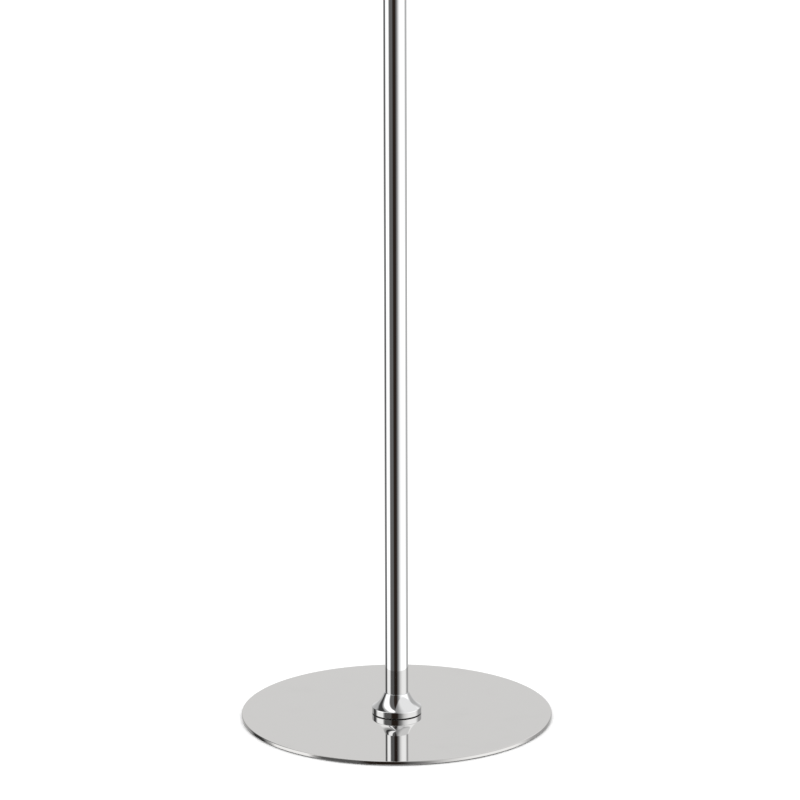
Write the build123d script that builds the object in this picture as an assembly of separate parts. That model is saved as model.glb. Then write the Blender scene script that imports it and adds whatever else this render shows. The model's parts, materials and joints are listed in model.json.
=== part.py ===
from build123d import *

import os
from math import asin, cos, sin

# Telescoping flag pole stand: a thin weighted disc base, a bell collar and a two-section pole with a ball.
# Millimetres, +Z up, origin at the centre of the base on the floor. Both flag rings face +X.
# The pole is shown pushed down, with the twist lock tight.

# ---- base --------------------------------------------------------------------------------------------------
BASE_DIAMETER = 340.0
PAD_THICKNESS = 1.2
PAD_INSET = 7.0          # from the rim to the pad's edge
PAD_HOLE_DIAMETER = 62.0
COVER_SHEET = 0.8
COVER_RIM_HEIGHT = 3.6
COVER_EDGE_RADIUS = 1.2
COVER_LEAST_ROUND = 0.1  # of the bend's inside
BALLAST_CLEARANCE = 0.15

# ---- centre fixing -----------------------------------------------------------------------------------------
STUD_DIAMETER = 12.0
STUD_FLANGE = 10.0       # how far the head stands out beyond the thread
STUD_HEAD_HEIGHT = 2.5
STUD_HEAD_EDGE = 0.6
STUD_HEAD_RECESS = 1.6   # how far the head is let into the ballast
STUD_NECK_GAP = 0.2      # from the square neck up to the cover
STUD_FREE_ABOVE_SEAT = 28.0
STUD_POINT = 1.0
STUD_HOLE_CLEARANCE = 0.3
WASHER_WIDTH = 8.7       # from its hole to its rim
WASHER_THICKNESS = 2.0
LOCK_WASHER_WIDTH = 4.2
LOCK_WASHER_THICKNESS = 1.0
LOCK_WASHER_SPLIT = 1.0
NUT_WALL = 3.0           # from the thread to a flat
NUT_HEIGHT = 6.0
NUT_CHAMFER = 0.9

# ---- bell collar -------------------------------------------------------------------------------------------
GASKET_THICKNESS = 0.75
GASKET_SEAT_GAP = 0.05
GASKET_INSET = 0.9       # the gasket stands back from the collar's rim
COLLAR_FLANGE = 14.4     # from the pole's face out to the collar's rim
COLLAR_HEIGHT = 22.7
COLLAR_RIM_HEIGHT = 6.5
COLLAR_RIM_ROUND = 1.2
COLLAR_FOOT_ROUND = 0.3
COLLAR_FLARE_RADIUS = 32.0
COLLAR_LIP_WALL = 0.6
COLLAR_WALL = 6.0        # beside the hollow under the bell
COLLAR_WEB = 2.6
COLLAR_WEB_GAP = 0.9     # from the nut to the web
POLE_CLEARANCE = 0.15

# ---- pole tubes --------------------------------------------------------------------------------------------
LOWER_TUBE_DIAMETER = 25.4
LOWER_TUBE_WALL = 1.2
LOWER_TUBE_LENGTH = 1200.0
TUBE_GAP = 1.975         # all round, between the two tubes
UPPER_TUBE_WALL = 1.2
INSERT_LENGTH = 34.0
INSERT_LEAD = 1.0
TOP_INSERT_LENGTH = 26.0
PRESS_CLEARANCE = 0.02   # pressed and glued faces are drawn this far apart
RUNNING_CLEARANCE = 0.06
THREAD_CLEARANCE = 0.05
GUIDE_LENGTH = 12.0
GUIDE_LEAD = 0.8
GUIDE_CORE_WALL = 4.15    # of the foot guide, inside the upper tube
GUIDE_SPIGOT_LENGTH = 20.0
GUIDE_SPACING = 96.0     # clear tube between the two guides
GUIDE_REST_GAP = 0.3

# ---- twist lock --------------------------------------------------------------------------------------------
SLEEVE_OVERLAP = 20.0    # length of the sleeve on the lower tube
SLEEVE_WALL = 2.3
SLEEVE_FLANGE = 2.0
SLEEVE_FLANGE_HEIGHT = 3.0
SLEEVE_FLANGE_EDGE = 0.75
SLEEVE_SHOULDER = 3.0
SLEEVE_MOUTH_DEPTH = 5.0
SLEEVE_MOUTH_WALL = 2.0
CONE_RISE = 1.5          # how much each cone narrows
COLLET_HEIGHT = 13.0
COLLET_CLEARANCE = 0.1
COLLET_SLOT = 1.6
COLLET_SLOT_FOOT = 4.3    # height of the solid foot under the three short slots
COLLET_CONE_HEIGHT = 5.0
LOCK_NUT_WALL = 3.5
LOCK_NUT_GAP = 0.8       # from the sleeve's flange to the nut
LOCK_NUT_TOP_WALL = 3.5
LOCK_NUT_FLUTES = 36
LOCK_NUT_FLUTE_RADIUS = 0.9
LOCK_NUT_FLUTE_OFFSET = 0.3   # from the nut's face out to a flute's centre
LOCK_NUT_PLAIN_BAND = 4.0
LOCK_NUT_EDGE = 1.2

# ---- snap hooks --------------------------------------------------------------------------------------------
HOOK_WIRE = 5.0
HOOK_TOP_BOW = 8.0       # radius of the wire's centre line
HOOK_BOTTOM_BOW = 10.5
HOOK_BOW_SPACING = 32.0
HOOK_HINGE_DROP = 3.0    # from the top bow's end to the flat face at the hinge
HOOK_NOSE_RISE = 2.0
GATE_STEP = 0.3          # the gate is this much thinner than the wire, all round
GATE_GAP = 0.4
GATE_LIP = 0.9           # thickness of the stop at the nose
GATE_LIP_GAP = 0.15
GATE_LIP_LENGTH = 4.0
GATE_PIN_DIAMETER = 2.0
GATE_PIN_DROP = 3.0      # from the flat face at the hinge to the pin
GATE_PIN_SINK = 0.1      # below the gate's face, each end
TONGUE_THICKNESS = 1.6
TONGUE_ROOT = 1.0        # how far the tongue runs into the wire
TONGUE_WALL = 1.0        # round the pin's hole
FORK_CLEARANCE = 0.3     # each side of the tongue
FORK_DEPTH = 3.2         # from the pin to the bottom of the fork
SPRING_DIAMETER = 1.7
SPRING_WIRE = 0.35
SPRING_PITCH = 0.9
SPRING_LENGTH = 6.3
SPRING_CLEARANCE = 0.1

# ---- flag rings --------------------------------------------------------------------------------------------
SLIDE_WASHER_THICKNESS = 1.0
SLIDE_WASHER_WIDTH = 4.8
STACK_GAP = 0.3          # between a ring and the washer under it
BUSH_WALL = 1.3
BUSH_CLEARANCE = 0.08
RING_WALL = 4.0
RING_EDGE = 0.8
EYE_REACH = 8.0          # from the ring's face to the eye's centre
EYE_THICKNESS = 3.0
EYE_CLEARANCE = 0.5      # round the hook's wire
EYE_WALL = 1.8
EYE_EDGE = 0.5
EYE_SHOULDER = 0.7       # the ring stands this much above and below its eye
RING_REST_GAP = 13.0     # from the upper hook's foot down to the lower ring, with the pole down
STOP_COLLAR_HEIGHT = 9.0
STOP_COLLAR_WALL = 5.5
STOP_SCREW_DIAMETER = 5.0
STOP_SCREW_SINK = 0.6
STOP_SCREW_SOCKET = 2.5  # across its flats, and deep
SCREW_TURNS = (-135, 135)

# ---- finial ------------------------------------------------------------------------------------------------
NECK_REST_GAP = 1.2      # from the upper ring to the neck
NECK_SKIRT_DEPTH = 2.6   # how far the neck caps the upper tube
NECK_SKIRT_WALL = 2.2
NECK_SEAT_GAP = 0.05
NECK_BAND_HEIGHT = 5.0
NECK_BAND_LEDGE = 0.8
NECK_HEIGHT = 17.0
NECK_TOP_DIAMETER = 13.0
NECK_CURVE_START = (-1, 0.25)   # the way the curve leaves the band
NECK_RIM_DIAMETER = 20.0
NECK_RIM_HEIGHT = 2.4
NECK_EDGE = 0.6
BALL_DIAMETER = 48.0
BALL_WALL = 1.2
BALL_BOSS_DIAMETER = 15.0
BALL_BOSS_DEPTH = 14.0
BALL_STUD_GAP = 1.4      # from the stud's tip to the boss's inner end
BALL_SEAT_SINK = 0.3     # how far the ball beds into the neck's rim
FINIAL_STUD_DIAMETER = 8.0
FINIAL_STUD_ENGAGEMENT = 16.0

# ---- radii worked out from the sizes -----------------------------------------------------------------------
BASE_RADIUS = BASE_DIAMETER / 2
COVER_INNER_ROUND = max(COVER_EDGE_RADIUS - COVER_SHEET, COVER_LEAST_ROUND)
STUD_RADIUS = STUD_DIAMETER / 2
STUD_HOLE = STUD_RADIUS + STUD_HOLE_CLEARANCE
STUD_HEAD_RADIUS = STUD_RADIUS + STUD_FLANGE
WASHER_RADIUS = STUD_HOLE + WASHER_WIDTH
LOCK_WASHER_RADIUS = STUD_HOLE + LOCK_WASHER_WIDTH
NUT_INSCRIBED_RADIUS = STUD_RADIUS + NUT_WALL
LOWER_RADIUS = LOWER_TUBE_DIAMETER / 2
LOWER_BORE = LOWER_RADIUS - LOWER_TUBE_WALL
UPPER_RADIUS = LOWER_BORE - TUBE_GAP
UPPER_BORE = UPPER_RADIUS - UPPER_TUBE_WALL
GUIDE_RADIUS = LOWER_BORE - RUNNING_CLEARANCE
LOOSE_BORE = UPPER_RADIUS + BUSH_CLEARANCE      # of everything the upper tube slides or turns in
COLLAR_RADIUS = LOWER_RADIUS + COLLAR_FLANGE
SLEEVE_RADIUS = LOWER_RADIUS + SLEEVE_WALL
MOUTH_RADIUS = SLEEVE_RADIUS - SLEEVE_MOUTH_WALL
LOCK_NUT_RADIUS = SLEEVE_RADIUS + LOCK_NUT_WALL
RING_BORE = LOOSE_BORE + BUSH_WALL
RING_RADIUS = RING_BORE + RING_WALL
STOP_COLLAR_RADIUS = UPPER_RADIUS + STOP_COLLAR_WALL
EYE_RADIUS = RING_RADIUS + EYE_REACH            # from the pole's axis to the eye's centre
EYE_HOLE = HOOK_WIRE / 2 + EYE_CLEARANCE
EYE_TIP = EYE_HOLE + EYE_WALL
RING_HEIGHT = 2 * (EYE_TIP + EYE_SHOULDER)
GATE_RADIUS = HOOK_WIRE / 2 - GATE_STEP
TONGUE_END = GATE_PIN_DIAMETER / 2 + TONGUE_WALL
SPRING_START = TONGUE_END + SPRING_WIRE / 2 + SPRING_CLEARANCE
BALL_RADIUS = BALL_DIAMETER / 2

# ---- heights worked out from the sizes ---------------------------------------------------------------------
Z_COVER_TOP = PAD_THICKNESS + COVER_RIM_HEIGHT
Z_BALLAST_TOP = Z_COVER_TOP - COVER_SHEET
Z_HEAD_TOP = PAD_THICKNESS + STUD_HEAD_RECESS
Z_WASHER_TOP = Z_COVER_TOP + WASHER_THICKNESS
Z_LOCK_WASHER_TOP = Z_WASHER_TOP + LOCK_WASHER_THICKNESS
Z_STUD_NUT_TOP = Z_LOCK_WASHER_TOP + NUT_HEIGHT
Z_GASKET = Z_COVER_TOP + GASKET_SEAT_GAP
Z_COLLAR = Z_GASKET + GASKET_THICKNESS
Z_COLLAR_TOP = Z_COLLAR + COLLAR_HEIGHT
Z_WEB = Z_STUD_NUT_TOP + COLLAR_WEB_GAP
Z_POLE = Z_WEB + COLLAR_WEB
Z_LOWER_TOP = Z_POLE + LOWER_TUBE_LENGTH

Z_GUIDE = Z_POLE + INSERT_LENGTH + GUIDE_REST_GAP
Z_UPPER = Z_GUIDE + GUIDE_LENGTH
Z_UPPER_GUIDE = Z_UPPER + GUIDE_SPACING
SLIDE_TRAVEL = Z_LOWER_TOP - (Z_UPPER_GUIDE + GUIDE_LENGTH)

Z_SLEEVE = Z_LOWER_TOP - SLEEVE_OVERLAP
Z_SHOULDER_TOP = Z_LOWER_TOP + SLEEVE_SHOULDER
Z_SLEEVE_TOP = Z_SHOULDER_TOP + SLEEVE_MOUTH_DEPTH
Z_COLLET = Z_SHOULDER_TOP + COLLET_CLEARANCE
Z_COLLET_TOP = Z_COLLET + COLLET_HEIGHT
Z_NUT = Z_SLEEVE + SLEEVE_FLANGE_HEIGHT + LOCK_NUT_GAP
Z_NUT_TOP = Z_COLLET_TOP + COLLET_CLEARANCE + LOCK_NUT_TOP_WALL

HOOK_DROP = HOOK_TOP_BOW + HOOK_BOW_SPACING + HOOK_BOTTOM_BOW + HOOK_WIRE / 2
Z_LOWER_WASHER = Z_NUT_TOP
Z_LOWER_RING = Z_LOWER_WASHER + SLIDE_WASHER_THICKNESS + STACK_GAP
Z_LOWER_EYE = Z_LOWER_RING + RING_HEIGHT / 2
Z_UPPER_EYE = Z_LOWER_EYE + RING_HEIGHT / 2 + RING_REST_GAP + HOOK_DROP
Z_UPPER_RING = Z_UPPER_EYE - RING_HEIGHT / 2
Z_UPPER_WASHER = Z_UPPER_RING - STACK_GAP - SLIDE_WASHER_THICKNESS
Z_STOP_COLLAR = Z_UPPER_WASHER - STOP_COLLAR_HEIGHT

Z_NECK = Z_UPPER_RING + RING_HEIGHT + NECK_REST_GAP
Z_NECK_SEAT = Z_NECK + NECK_SKIRT_DEPTH
Z_UPPER_TOP = Z_NECK_SEAT - NECK_SEAT_GAP
Z_NECK_TOP = Z_NECK_SEAT + NECK_HEIGHT
BALL_SEAT_DROP = BALL_RADIUS - (BALL_RADIUS**2 - (NECK_RIM_DIAMETER / 2) ** 2) ** 0.5
Z_BALL = Z_NECK_TOP - BALL_SEAT_DROP - BALL_SEAT_SINK
Z_BALL_CENTRE = Z_BALL + BALL_RADIUS
UPPER_TUBE_LENGTH = Z_UPPER_TOP - Z_UPPER

UP = (Align.CENTER, Align.CENTER, Align.MIN)


# ---- helpers -----------------------------------------------------------------------------------------------
def turned(*edges):
    """A solid of revolution about Z from a closed outline of points or edges in (radius, height)."""
    outline = edges[0] if len(edges) == 1 else Wire(list(edges))
    face = make_face(outline)
    return revolve(Plane.XZ * face, Axis.Z)


def outline(*points):
    """A closed outline through points of (radius, height)."""
    return Polyline(*points, close=True)


def is_round(edge, radius):
    return edge.geom_type == GeomType.CIRCLE and abs(edge.radius - radius) < 1e-6


def ring(outer, inner, bottom, height):
    """A plain ring between two radii."""
    return Pos(0, 0, bottom) * (Cylinder(outer, height, align=UP) - Cylinder(inner, height, align=UP))


def soft_ring(outer, inner, bottom, height, edge):
    """A ring with rounded outer edges."""
    face = Pos((outer + inner) / 2, bottom + height / 2) * Rectangle(outer - inner, height)
    corners = face.vertices().sort_by(Axis.X)[-2:]
    return revolve(Plane.XZ * fillet(corners, edge), Axis.Z)


# ---- base --------------------------------------------------------------------------------------------------
def base_cover():
    """Thin polished sheet with a turned-down rim and a rounded edge."""
    inner = BASE_RADIUS - COVER_SHEET
    face = make_face(outline(
        (STUD_HOLE, Z_BALLAST_TOP),
        (STUD_HOLE, Z_COVER_TOP),
        (BASE_RADIUS, Z_COVER_TOP),
        (BASE_RADIUS, PAD_THICKNESS),
        (inner, PAD_THICKNESS),
        (inner, Z_BALLAST_TOP),
    ))
    outer_corner = face.vertices().group_by(Axis.Y)[-1].sort_by(Axis.X)[-1]
    face = fillet(outer_corner, COVER_EDGE_RADIUS)
    inner_corner = face.vertices().sort_by_distance(Vector(inner, Z_BALLAST_TOP))[0]
    face = fillet(inner_corner, COVER_INNER_ROUND)
    return revolve(Plane.XZ * face, Axis.Z)


def ballast_plate():
    """Steel disc inside the cover, let in from below for the stud's head, with a square hole for its neck."""
    outer = BASE_RADIUS - COVER_SHEET - BALLAST_CLEARANCE
    plate = Pos(0, 0, PAD_THICKNESS) * Cylinder(outer, Z_BALLAST_TOP - PAD_THICKNESS, align=UP)
    plate = fillet(plate.edges().group_by(Axis.Z)[-1], COVER_INNER_ROUND + BALLAST_CLEARANCE)
    recess = Pos(0, 0, PAD_THICKNESS) * Cylinder(
        STUD_HEAD_RADIUS + STUD_HOLE_CLEARANCE, STUD_HEAD_RECESS, align=UP)
    square = Pos(0, 0, Z_HEAD_TOP) * Box(2 * STUD_HOLE, 2 * STUD_HOLE, Z_BALLAST_TOP - Z_HEAD_TOP, align=UP)
    return plate - recess - square


def floor_pad():
    """Foam ring that the base stands on."""
    return ring(BASE_RADIUS - PAD_INSET, PAD_HOLE_DIAMETER / 2, 0, PAD_THICKNESS)


def centre_stud():
    """Flat-headed stud with a square neck, standing up through the base."""
    head = Pos(0, 0, Z_HEAD_TOP - STUD_HEAD_HEIGHT) * Cylinder(STUD_HEAD_RADIUS, STUD_HEAD_HEIGHT, align=UP)
    head = chamfer(head.edges().group_by(Axis.Z)[0], STUD_HEAD_EDGE)
    neck = Pos(0, 0, Z_HEAD_TOP) * Box(
        STUD_DIAMETER, STUD_DIAMETER, Z_BALLAST_TOP - STUD_NECK_GAP - Z_HEAD_TOP, align=UP)
    shank = Pos(0, 0, Z_HEAD_TOP) * Cylinder(
        STUD_RADIUS, Z_POLE + STUD_FREE_ABOVE_SEAT - Z_HEAD_TOP, align=UP)
    shank = chamfer(shank.edges().group_by(Axis.Z)[-1], STUD_POINT)
    return head + neck + shank


def stud_washer():
    return ring(WASHER_RADIUS, STUD_HOLE, Z_COVER_TOP, WASHER_THICKNESS)


def stud_lock_washer():
    """Split ring under the nut."""
    body = ring(LOCK_WASHER_RADIUS, STUD_HOLE, Z_WASHER_TOP, LOCK_WASHER_THICKNESS)
    split = Pos(LOCK_WASHER_RADIUS, 0, Z_WASHER_TOP) * Box(
        2 * LOCK_WASHER_RADIUS, LOCK_WASHER_SPLIT, LOCK_WASHER_THICKNESS, align=UP)
    return body - split


def stud_nut():
    """Thin hexagon nut with chamfered corners, which clamps the stud to the base."""
    blank = extrude(RegularPolygon(NUT_INSCRIBED_RADIUS, 6, major_radius=False), NUT_HEIGHT)
    corner = NUT_INSCRIBED_RADIUS * 2 / 3**0.5
    barrel = chamfer(Cylinder(corner, NUT_HEIGHT, align=UP).edges().filter_by(GeomType.CIRCLE), NUT_CHAMFER)
    hole = Cylinder(STUD_RADIUS + THREAD_CLEARANCE, NUT_HEIGHT, align=UP)
    return Pos(0, 0, Z_LOCK_WASHER_TOP) * ((blank & barrel) - hole)


# ---- bell collar -------------------------------------------------------------------------------------------
def collar_gasket():
    return ring(COLLAR_RADIUS - GASKET_INSET, COLLAR_RADIUS - COLLAR_WALL, Z_GASKET, GASKET_THICKNESS)


def pole_collar():
    """Trumpet-shaped collar with an upright rim, a fine lip round the pole and a web under its foot."""
    rim = COLLAR_RADIUS
    bore = LOWER_RADIUS + POLE_CLEARANCE
    lip = bore + COLLAR_LIP_WALL
    hollow = rim - COLLAR_WALL
    rim_top = Z_COLLAR + COLLAR_RIM_HEIGHT
    flare = RadiusArc((rim, rim_top), (lip, Z_COLLAR_TOP), COLLAR_FLARE_RADIUS)
    rest = Polyline(
        (lip, Z_COLLAR_TOP), (bore, Z_COLLAR_TOP), (bore, Z_POLE), (STUD_HOLE, Z_POLE),
        (STUD_HOLE, Z_WEB), (hollow, Z_WEB), (hollow, Z_COLLAR), (rim, Z_COLLAR), (rim, rim_top))
    face = make_face([*rest.edges(), *flare.edges()])
    shoulder = face.vertices().sort_by_distance(Vector(rim, rim_top))[0]
    face = fillet(shoulder, COLLAR_RIM_ROUND)
    foot = face.vertices().sort_by_distance(Vector(rim, Z_COLLAR))[0]
    face = fillet(foot, COLLAR_FOOT_ROUND)
    lip_edge = face.vertices().sort_by_distance(Vector(lip, Z_COLLAR_TOP))[0]
    face = fillet(lip_edge, COLLAR_LIP_WALL / 2)
    return revolve(Plane.XZ * face, Axis.Z)


# ---- pole --------------------------------------------------------------------------------------------------
def lower_tube():
    return ring(LOWER_RADIUS, LOWER_BORE, Z_POLE, LOWER_TUBE_LENGTH)


def lower_tube_insert():
    """Threaded plug pressed into the foot of the lower tube."""
    plug = Pos(0, 0, Z_POLE) * Cylinder(LOWER_BORE - PRESS_CLEARANCE, INSERT_LENGTH, align=UP)
    plug = chamfer(plug.edges().group_by(Axis.Z)[-1], INSERT_LEAD)
    return plug - Pos(0, 0, Z_POLE) * Cylinder(STUD_RADIUS + THREAD_CLEARANCE, INSERT_LENGTH, align=UP)


def upper_tube():
    return ring(UPPER_RADIUS, UPPER_BORE, Z_UPPER, UPPER_TUBE_LENGTH)


def foot_guide():
    """Plug in the foot of the upper tube, with a collar that runs in the lower tube."""
    collar = Pos(0, 0, Z_GUIDE) * Cylinder(GUIDE_RADIUS, GUIDE_LENGTH, align=UP)
    collar = chamfer(collar.edges().group_by(Axis.Z)[0], GUIDE_LEAD)
    spigot = Pos(0, 0, Z_UPPER) * Cylinder(UPPER_BORE - PRESS_CLEARANCE, GUIDE_SPIGOT_LENGTH, align=UP)
    core = Pos(0, 0, Z_GUIDE) * Cylinder(
        UPPER_BORE - GUIDE_CORE_WALL, GUIDE_LENGTH + GUIDE_SPIGOT_LENGTH, align=UP)
    return collar + spigot - core


def stop_guide():
    """Sleeve fixed on the upper tube. It meets the twist lock's shoulder when the pole is fully out."""
    return ring(GUIDE_RADIUS, UPPER_RADIUS + PRESS_CLEARANCE, Z_UPPER_GUIDE, GUIDE_LENGTH)


def upper_tube_insert():
    """Threaded plug pressed into the top of the upper tube."""
    bottom = Z_UPPER_TOP - TOP_INSERT_LENGTH
    plug = Pos(0, 0, bottom) * Cylinder(UPPER_BORE - PRESS_CLEARANCE, TOP_INSERT_LENGTH, align=UP)
    plug = chamfer(plug.edges().group_by(Axis.Z)[0], INSERT_LEAD)
    hole = Pos(0, 0, bottom) * Cylinder(
        FINIAL_STUD_DIAMETER / 2 + THREAD_CLEARANCE, TOP_INSERT_LENGTH, align=UP)
    return plug - hole


# ---- twist lock --------------------------------------------------------------------------------------------
def lock_sleeve():
    """Threaded sleeve fixed on the lower tube's top, with a shoulder inside and a cone for the collet."""
    flange = SLEEVE_RADIUS + SLEEVE_FLANGE
    body = SLEEVE_RADIUS
    seat = LOWER_RADIUS + PRESS_CLEARANCE
    throat = LOOSE_BORE
    sleeve = turned(outline(
        (seat, Z_SLEEVE), (flange, Z_SLEEVE), (flange, Z_SLEEVE + SLEEVE_FLANGE_HEIGHT),
        (body, Z_SLEEVE + SLEEVE_FLANGE_HEIGHT), (body, Z_SLEEVE_TOP), (MOUTH_RADIUS, Z_SLEEVE_TOP),
        (MOUTH_RADIUS - CONE_RISE, Z_SHOULDER_TOP), (throat, Z_SHOULDER_TOP), (throat, Z_LOWER_TOP),
        (seat, Z_LOWER_TOP)))
    return fillet(sleeve.edges().filter_by(lambda e: is_round(e, flange)), SLEEVE_FLANGE_EDGE)


def collet():
    """Split nylon ring with a cone at each end, squeezed on the upper tube by the nut."""
    gap = COLLET_CLEARANCE
    bore = UPPER_RADIUS + RUNNING_CLEARANCE
    waist = MOUTH_RADIUS - gap
    body = turned(outline(
        (bore, Z_COLLET), (waist - CONE_RISE, Z_COLLET), (waist, Z_COLLET + SLEEVE_MOUTH_DEPTH),
        (waist, Z_COLLET_TOP - COLLET_CONE_HEIGHT), (waist - CONE_RISE, Z_COLLET_TOP), (bore, Z_COLLET_TOP)))
    split = Pos(waist / 2, 0, Z_COLLET) * Box(waist + gap, COLLET_SLOT, COLLET_HEIGHT, align=UP)
    body -= split
    for angle in (90, 180, 270):
        slot = Pos(waist / 2, 0, Z_COLLET + COLLET_SLOT_FOOT) * Box(
            waist + gap, COLLET_SLOT, COLLET_HEIGHT, align=UP)
        body -= Rot(0, 0, angle) * slot
    return body


def lock_nut():
    """Fluted nut that closes the collet's upper cone."""
    outer = LOCK_NUT_RADIUS
    thread = SLEEVE_RADIUS + THREAD_CLEARANCE
    throat = LOOSE_BORE
    cone_top = Z_COLLET_TOP + COLLET_CLEARANCE
    cone_foot = Z_COLLET_TOP - COLLET_CONE_HEIGHT
    nut = turned(outline(
        (thread, Z_NUT), (outer, Z_NUT), (outer, Z_NUT_TOP), (throat, Z_NUT_TOP), (throat, cone_top),
        (MOUTH_RADIUS + COLLET_CLEARANCE - CONE_RISE, cone_top), (MOUTH_RADIUS + COLLET_CLEARANCE, cone_foot),
        (MOUTH_RADIUS + COLLET_CLEARANCE, Z_SLEEVE_TOP + COLLET_CLEARANCE),
        (thread, Z_SLEEVE_TOP + COLLET_CLEARANCE)))
    nut = fillet(nut.edges().filter_by(lambda e: is_round(e, outer)), LOCK_NUT_EDGE)
    flute_height = Z_NUT_TOP - Z_NUT - 2 * LOCK_NUT_PLAIN_BAND
    flute = Cylinder(LOCK_NUT_FLUTE_RADIUS, flute_height, align=UP)
    flutes = PolarLocations(outer + LOCK_NUT_FLUTE_OFFSET, LOCK_NUT_FLUTES) * flute
    return nut - Pos(0, 0, Z_NUT + LOCK_NUT_PLAIN_BAND) * Compound(children=list(flutes))


# ---- flag rings --------------------------------------------------------------------------------------------
def slide_washer(bottom):
    return ring(LOOSE_BORE + SLIDE_WASHER_WIDTH, LOOSE_BORE, bottom, SLIDE_WASHER_THICKNESS)


def flag_ring(eye_height):
    """Ring that turns round the pole, with a flat eye towards +X."""
    band = soft_ring(RING_RADIUS, RING_BORE, eye_height - RING_HEIGHT / 2, RING_HEIGHT, RING_EDGE)
    root = RING_RADIUS - RING_WALL / 2
    plate = Pos((root + EYE_RADIUS) / 2, 0) * Rectangle(EYE_RADIUS - root, 2 * EYE_TIP)
    plate += Pos(EYE_RADIUS, 0) * Circle(EYE_TIP)
    eye = extrude(plate, EYE_THICKNESS / 2, both=True)
    eye -= Pos(EYE_RADIUS, 0) * Cylinder(EYE_HOLE, EYE_THICKNESS)
    eye = fillet(eye.edges().filter_by(lambda e: is_round(e, EYE_HOLE)), EYE_EDGE)
    return band + Pos(0, 0, eye_height) * Rot(90, 0, 0) * eye


def ring_bush(eye_height):
    """Nylon liner between a flag ring and the pole."""
    return ring(RING_BORE - PRESS_CLEARANCE, LOOSE_BORE, eye_height - RING_HEIGHT / 2, RING_HEIGHT)


def screw_places(radius, start, end):
    """Two radial cylinders, a quarter turn apart, at the middle of the stop collar."""
    bar = Pos(start, 0, Z_STOP_COLLAR + STOP_COLLAR_HEIGHT / 2) * Rot(0, 90, 0) * Cylinder(
        radius, end - start, align=UP)
    return [Rot(0, 0, turn) * bar for turn in SCREW_TURNS]


def stop_collar():
    """Collar clamped on the upper tube by two set screws."""
    bore = UPPER_RADIUS + PRESS_CLEARANCE
    body = soft_ring(STOP_COLLAR_RADIUS, bore, Z_STOP_COLLAR, STOP_COLLAR_HEIGHT, RING_EDGE)
    for hole in screw_places(STOP_SCREW_DIAMETER / 2 + THREAD_CLEARANCE, UPPER_RADIUS, STOP_COLLAR_RADIUS):
        body -= hole
    return body


def stop_collar_screws():
    """Two socket set screws, sunk just below the collar's face."""
    end = STOP_COLLAR_RADIUS - STOP_SCREW_SINK
    socket = extrude(RegularPolygon(STOP_SCREW_SOCKET / 2, 6, major_radius=False), STOP_SCREW_SOCKET)
    cut = Pos(end - STOP_SCREW_SOCKET, 0, Z_STOP_COLLAR + STOP_COLLAR_HEIGHT / 2) * Rot(0, 90, 0) * socket
    screws = screw_places(STOP_SCREW_DIAMETER / 2, UPPER_RADIUS + PRESS_CLEARANCE, end)
    return Compound(children=[screw - Rot(0, 0, turn) * cut for turn, screw in zip(SCREW_TURNS, screws)])


# ---- snap hooks --------------------------------------------------------------------------------------------
# A hook is drawn in its own plane, from the eye's centre: first number along the eye's axis (Y), second up.
TILT = asin((HOOK_BOTTOM_BOW - HOOK_TOP_BOW) / HOOK_BOW_SPACING)
ACROSS = Vector(cos(TILT), sin(TILT))           # square to the gate's side, outwards
ALONG = Vector(sin(TILT), -cos(TILT))           # down the gate's side
TOP_CENTRE = Vector(0, -HOOK_TOP_BOW)
BOTTOM_CENTRE = Vector(0, -HOOK_TOP_BOW - HOOK_BOW_SPACING)
SIDE_TOP = TOP_CENTRE + ACROSS * HOOK_TOP_BOW
SIDE_BOTTOM = BOTTOM_CENTRE + ACROSS * HOOK_BOTTOM_BOW
HINGE_FACE = SIDE_TOP + ALONG * HOOK_HINGE_DROP
PIN_CENTRE = HINGE_FACE + ALONG * GATE_PIN_DROP
NOSE_FACE = SIDE_BOTTOM - ALONG * HOOK_NOSE_RISE
GATE_LENGTH = (NOSE_FACE - PIN_CENTRE).length - GATE_GAP


def hook_place(eye_height):
    """Moves a hook drawn in the YZ plane at the origin to its eye."""
    return Pos(EYE_RADIUS, 0, eye_height)


def in_hook(point):
    """A point of the hook's plane as a point in space."""
    return Vector(0, point.X, point.Y)


def mirrored(point):
    return Vector(-point.X, point.Y)


def gate_side(centre):
    """A place on the gate's side whose own +Z runs down the gate and whose own X is the pin's axis."""
    return Location(Plane(origin=in_hook(centre), x_dir=(1, 0, 0), z_dir=in_hook(ALONG)))


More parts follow.
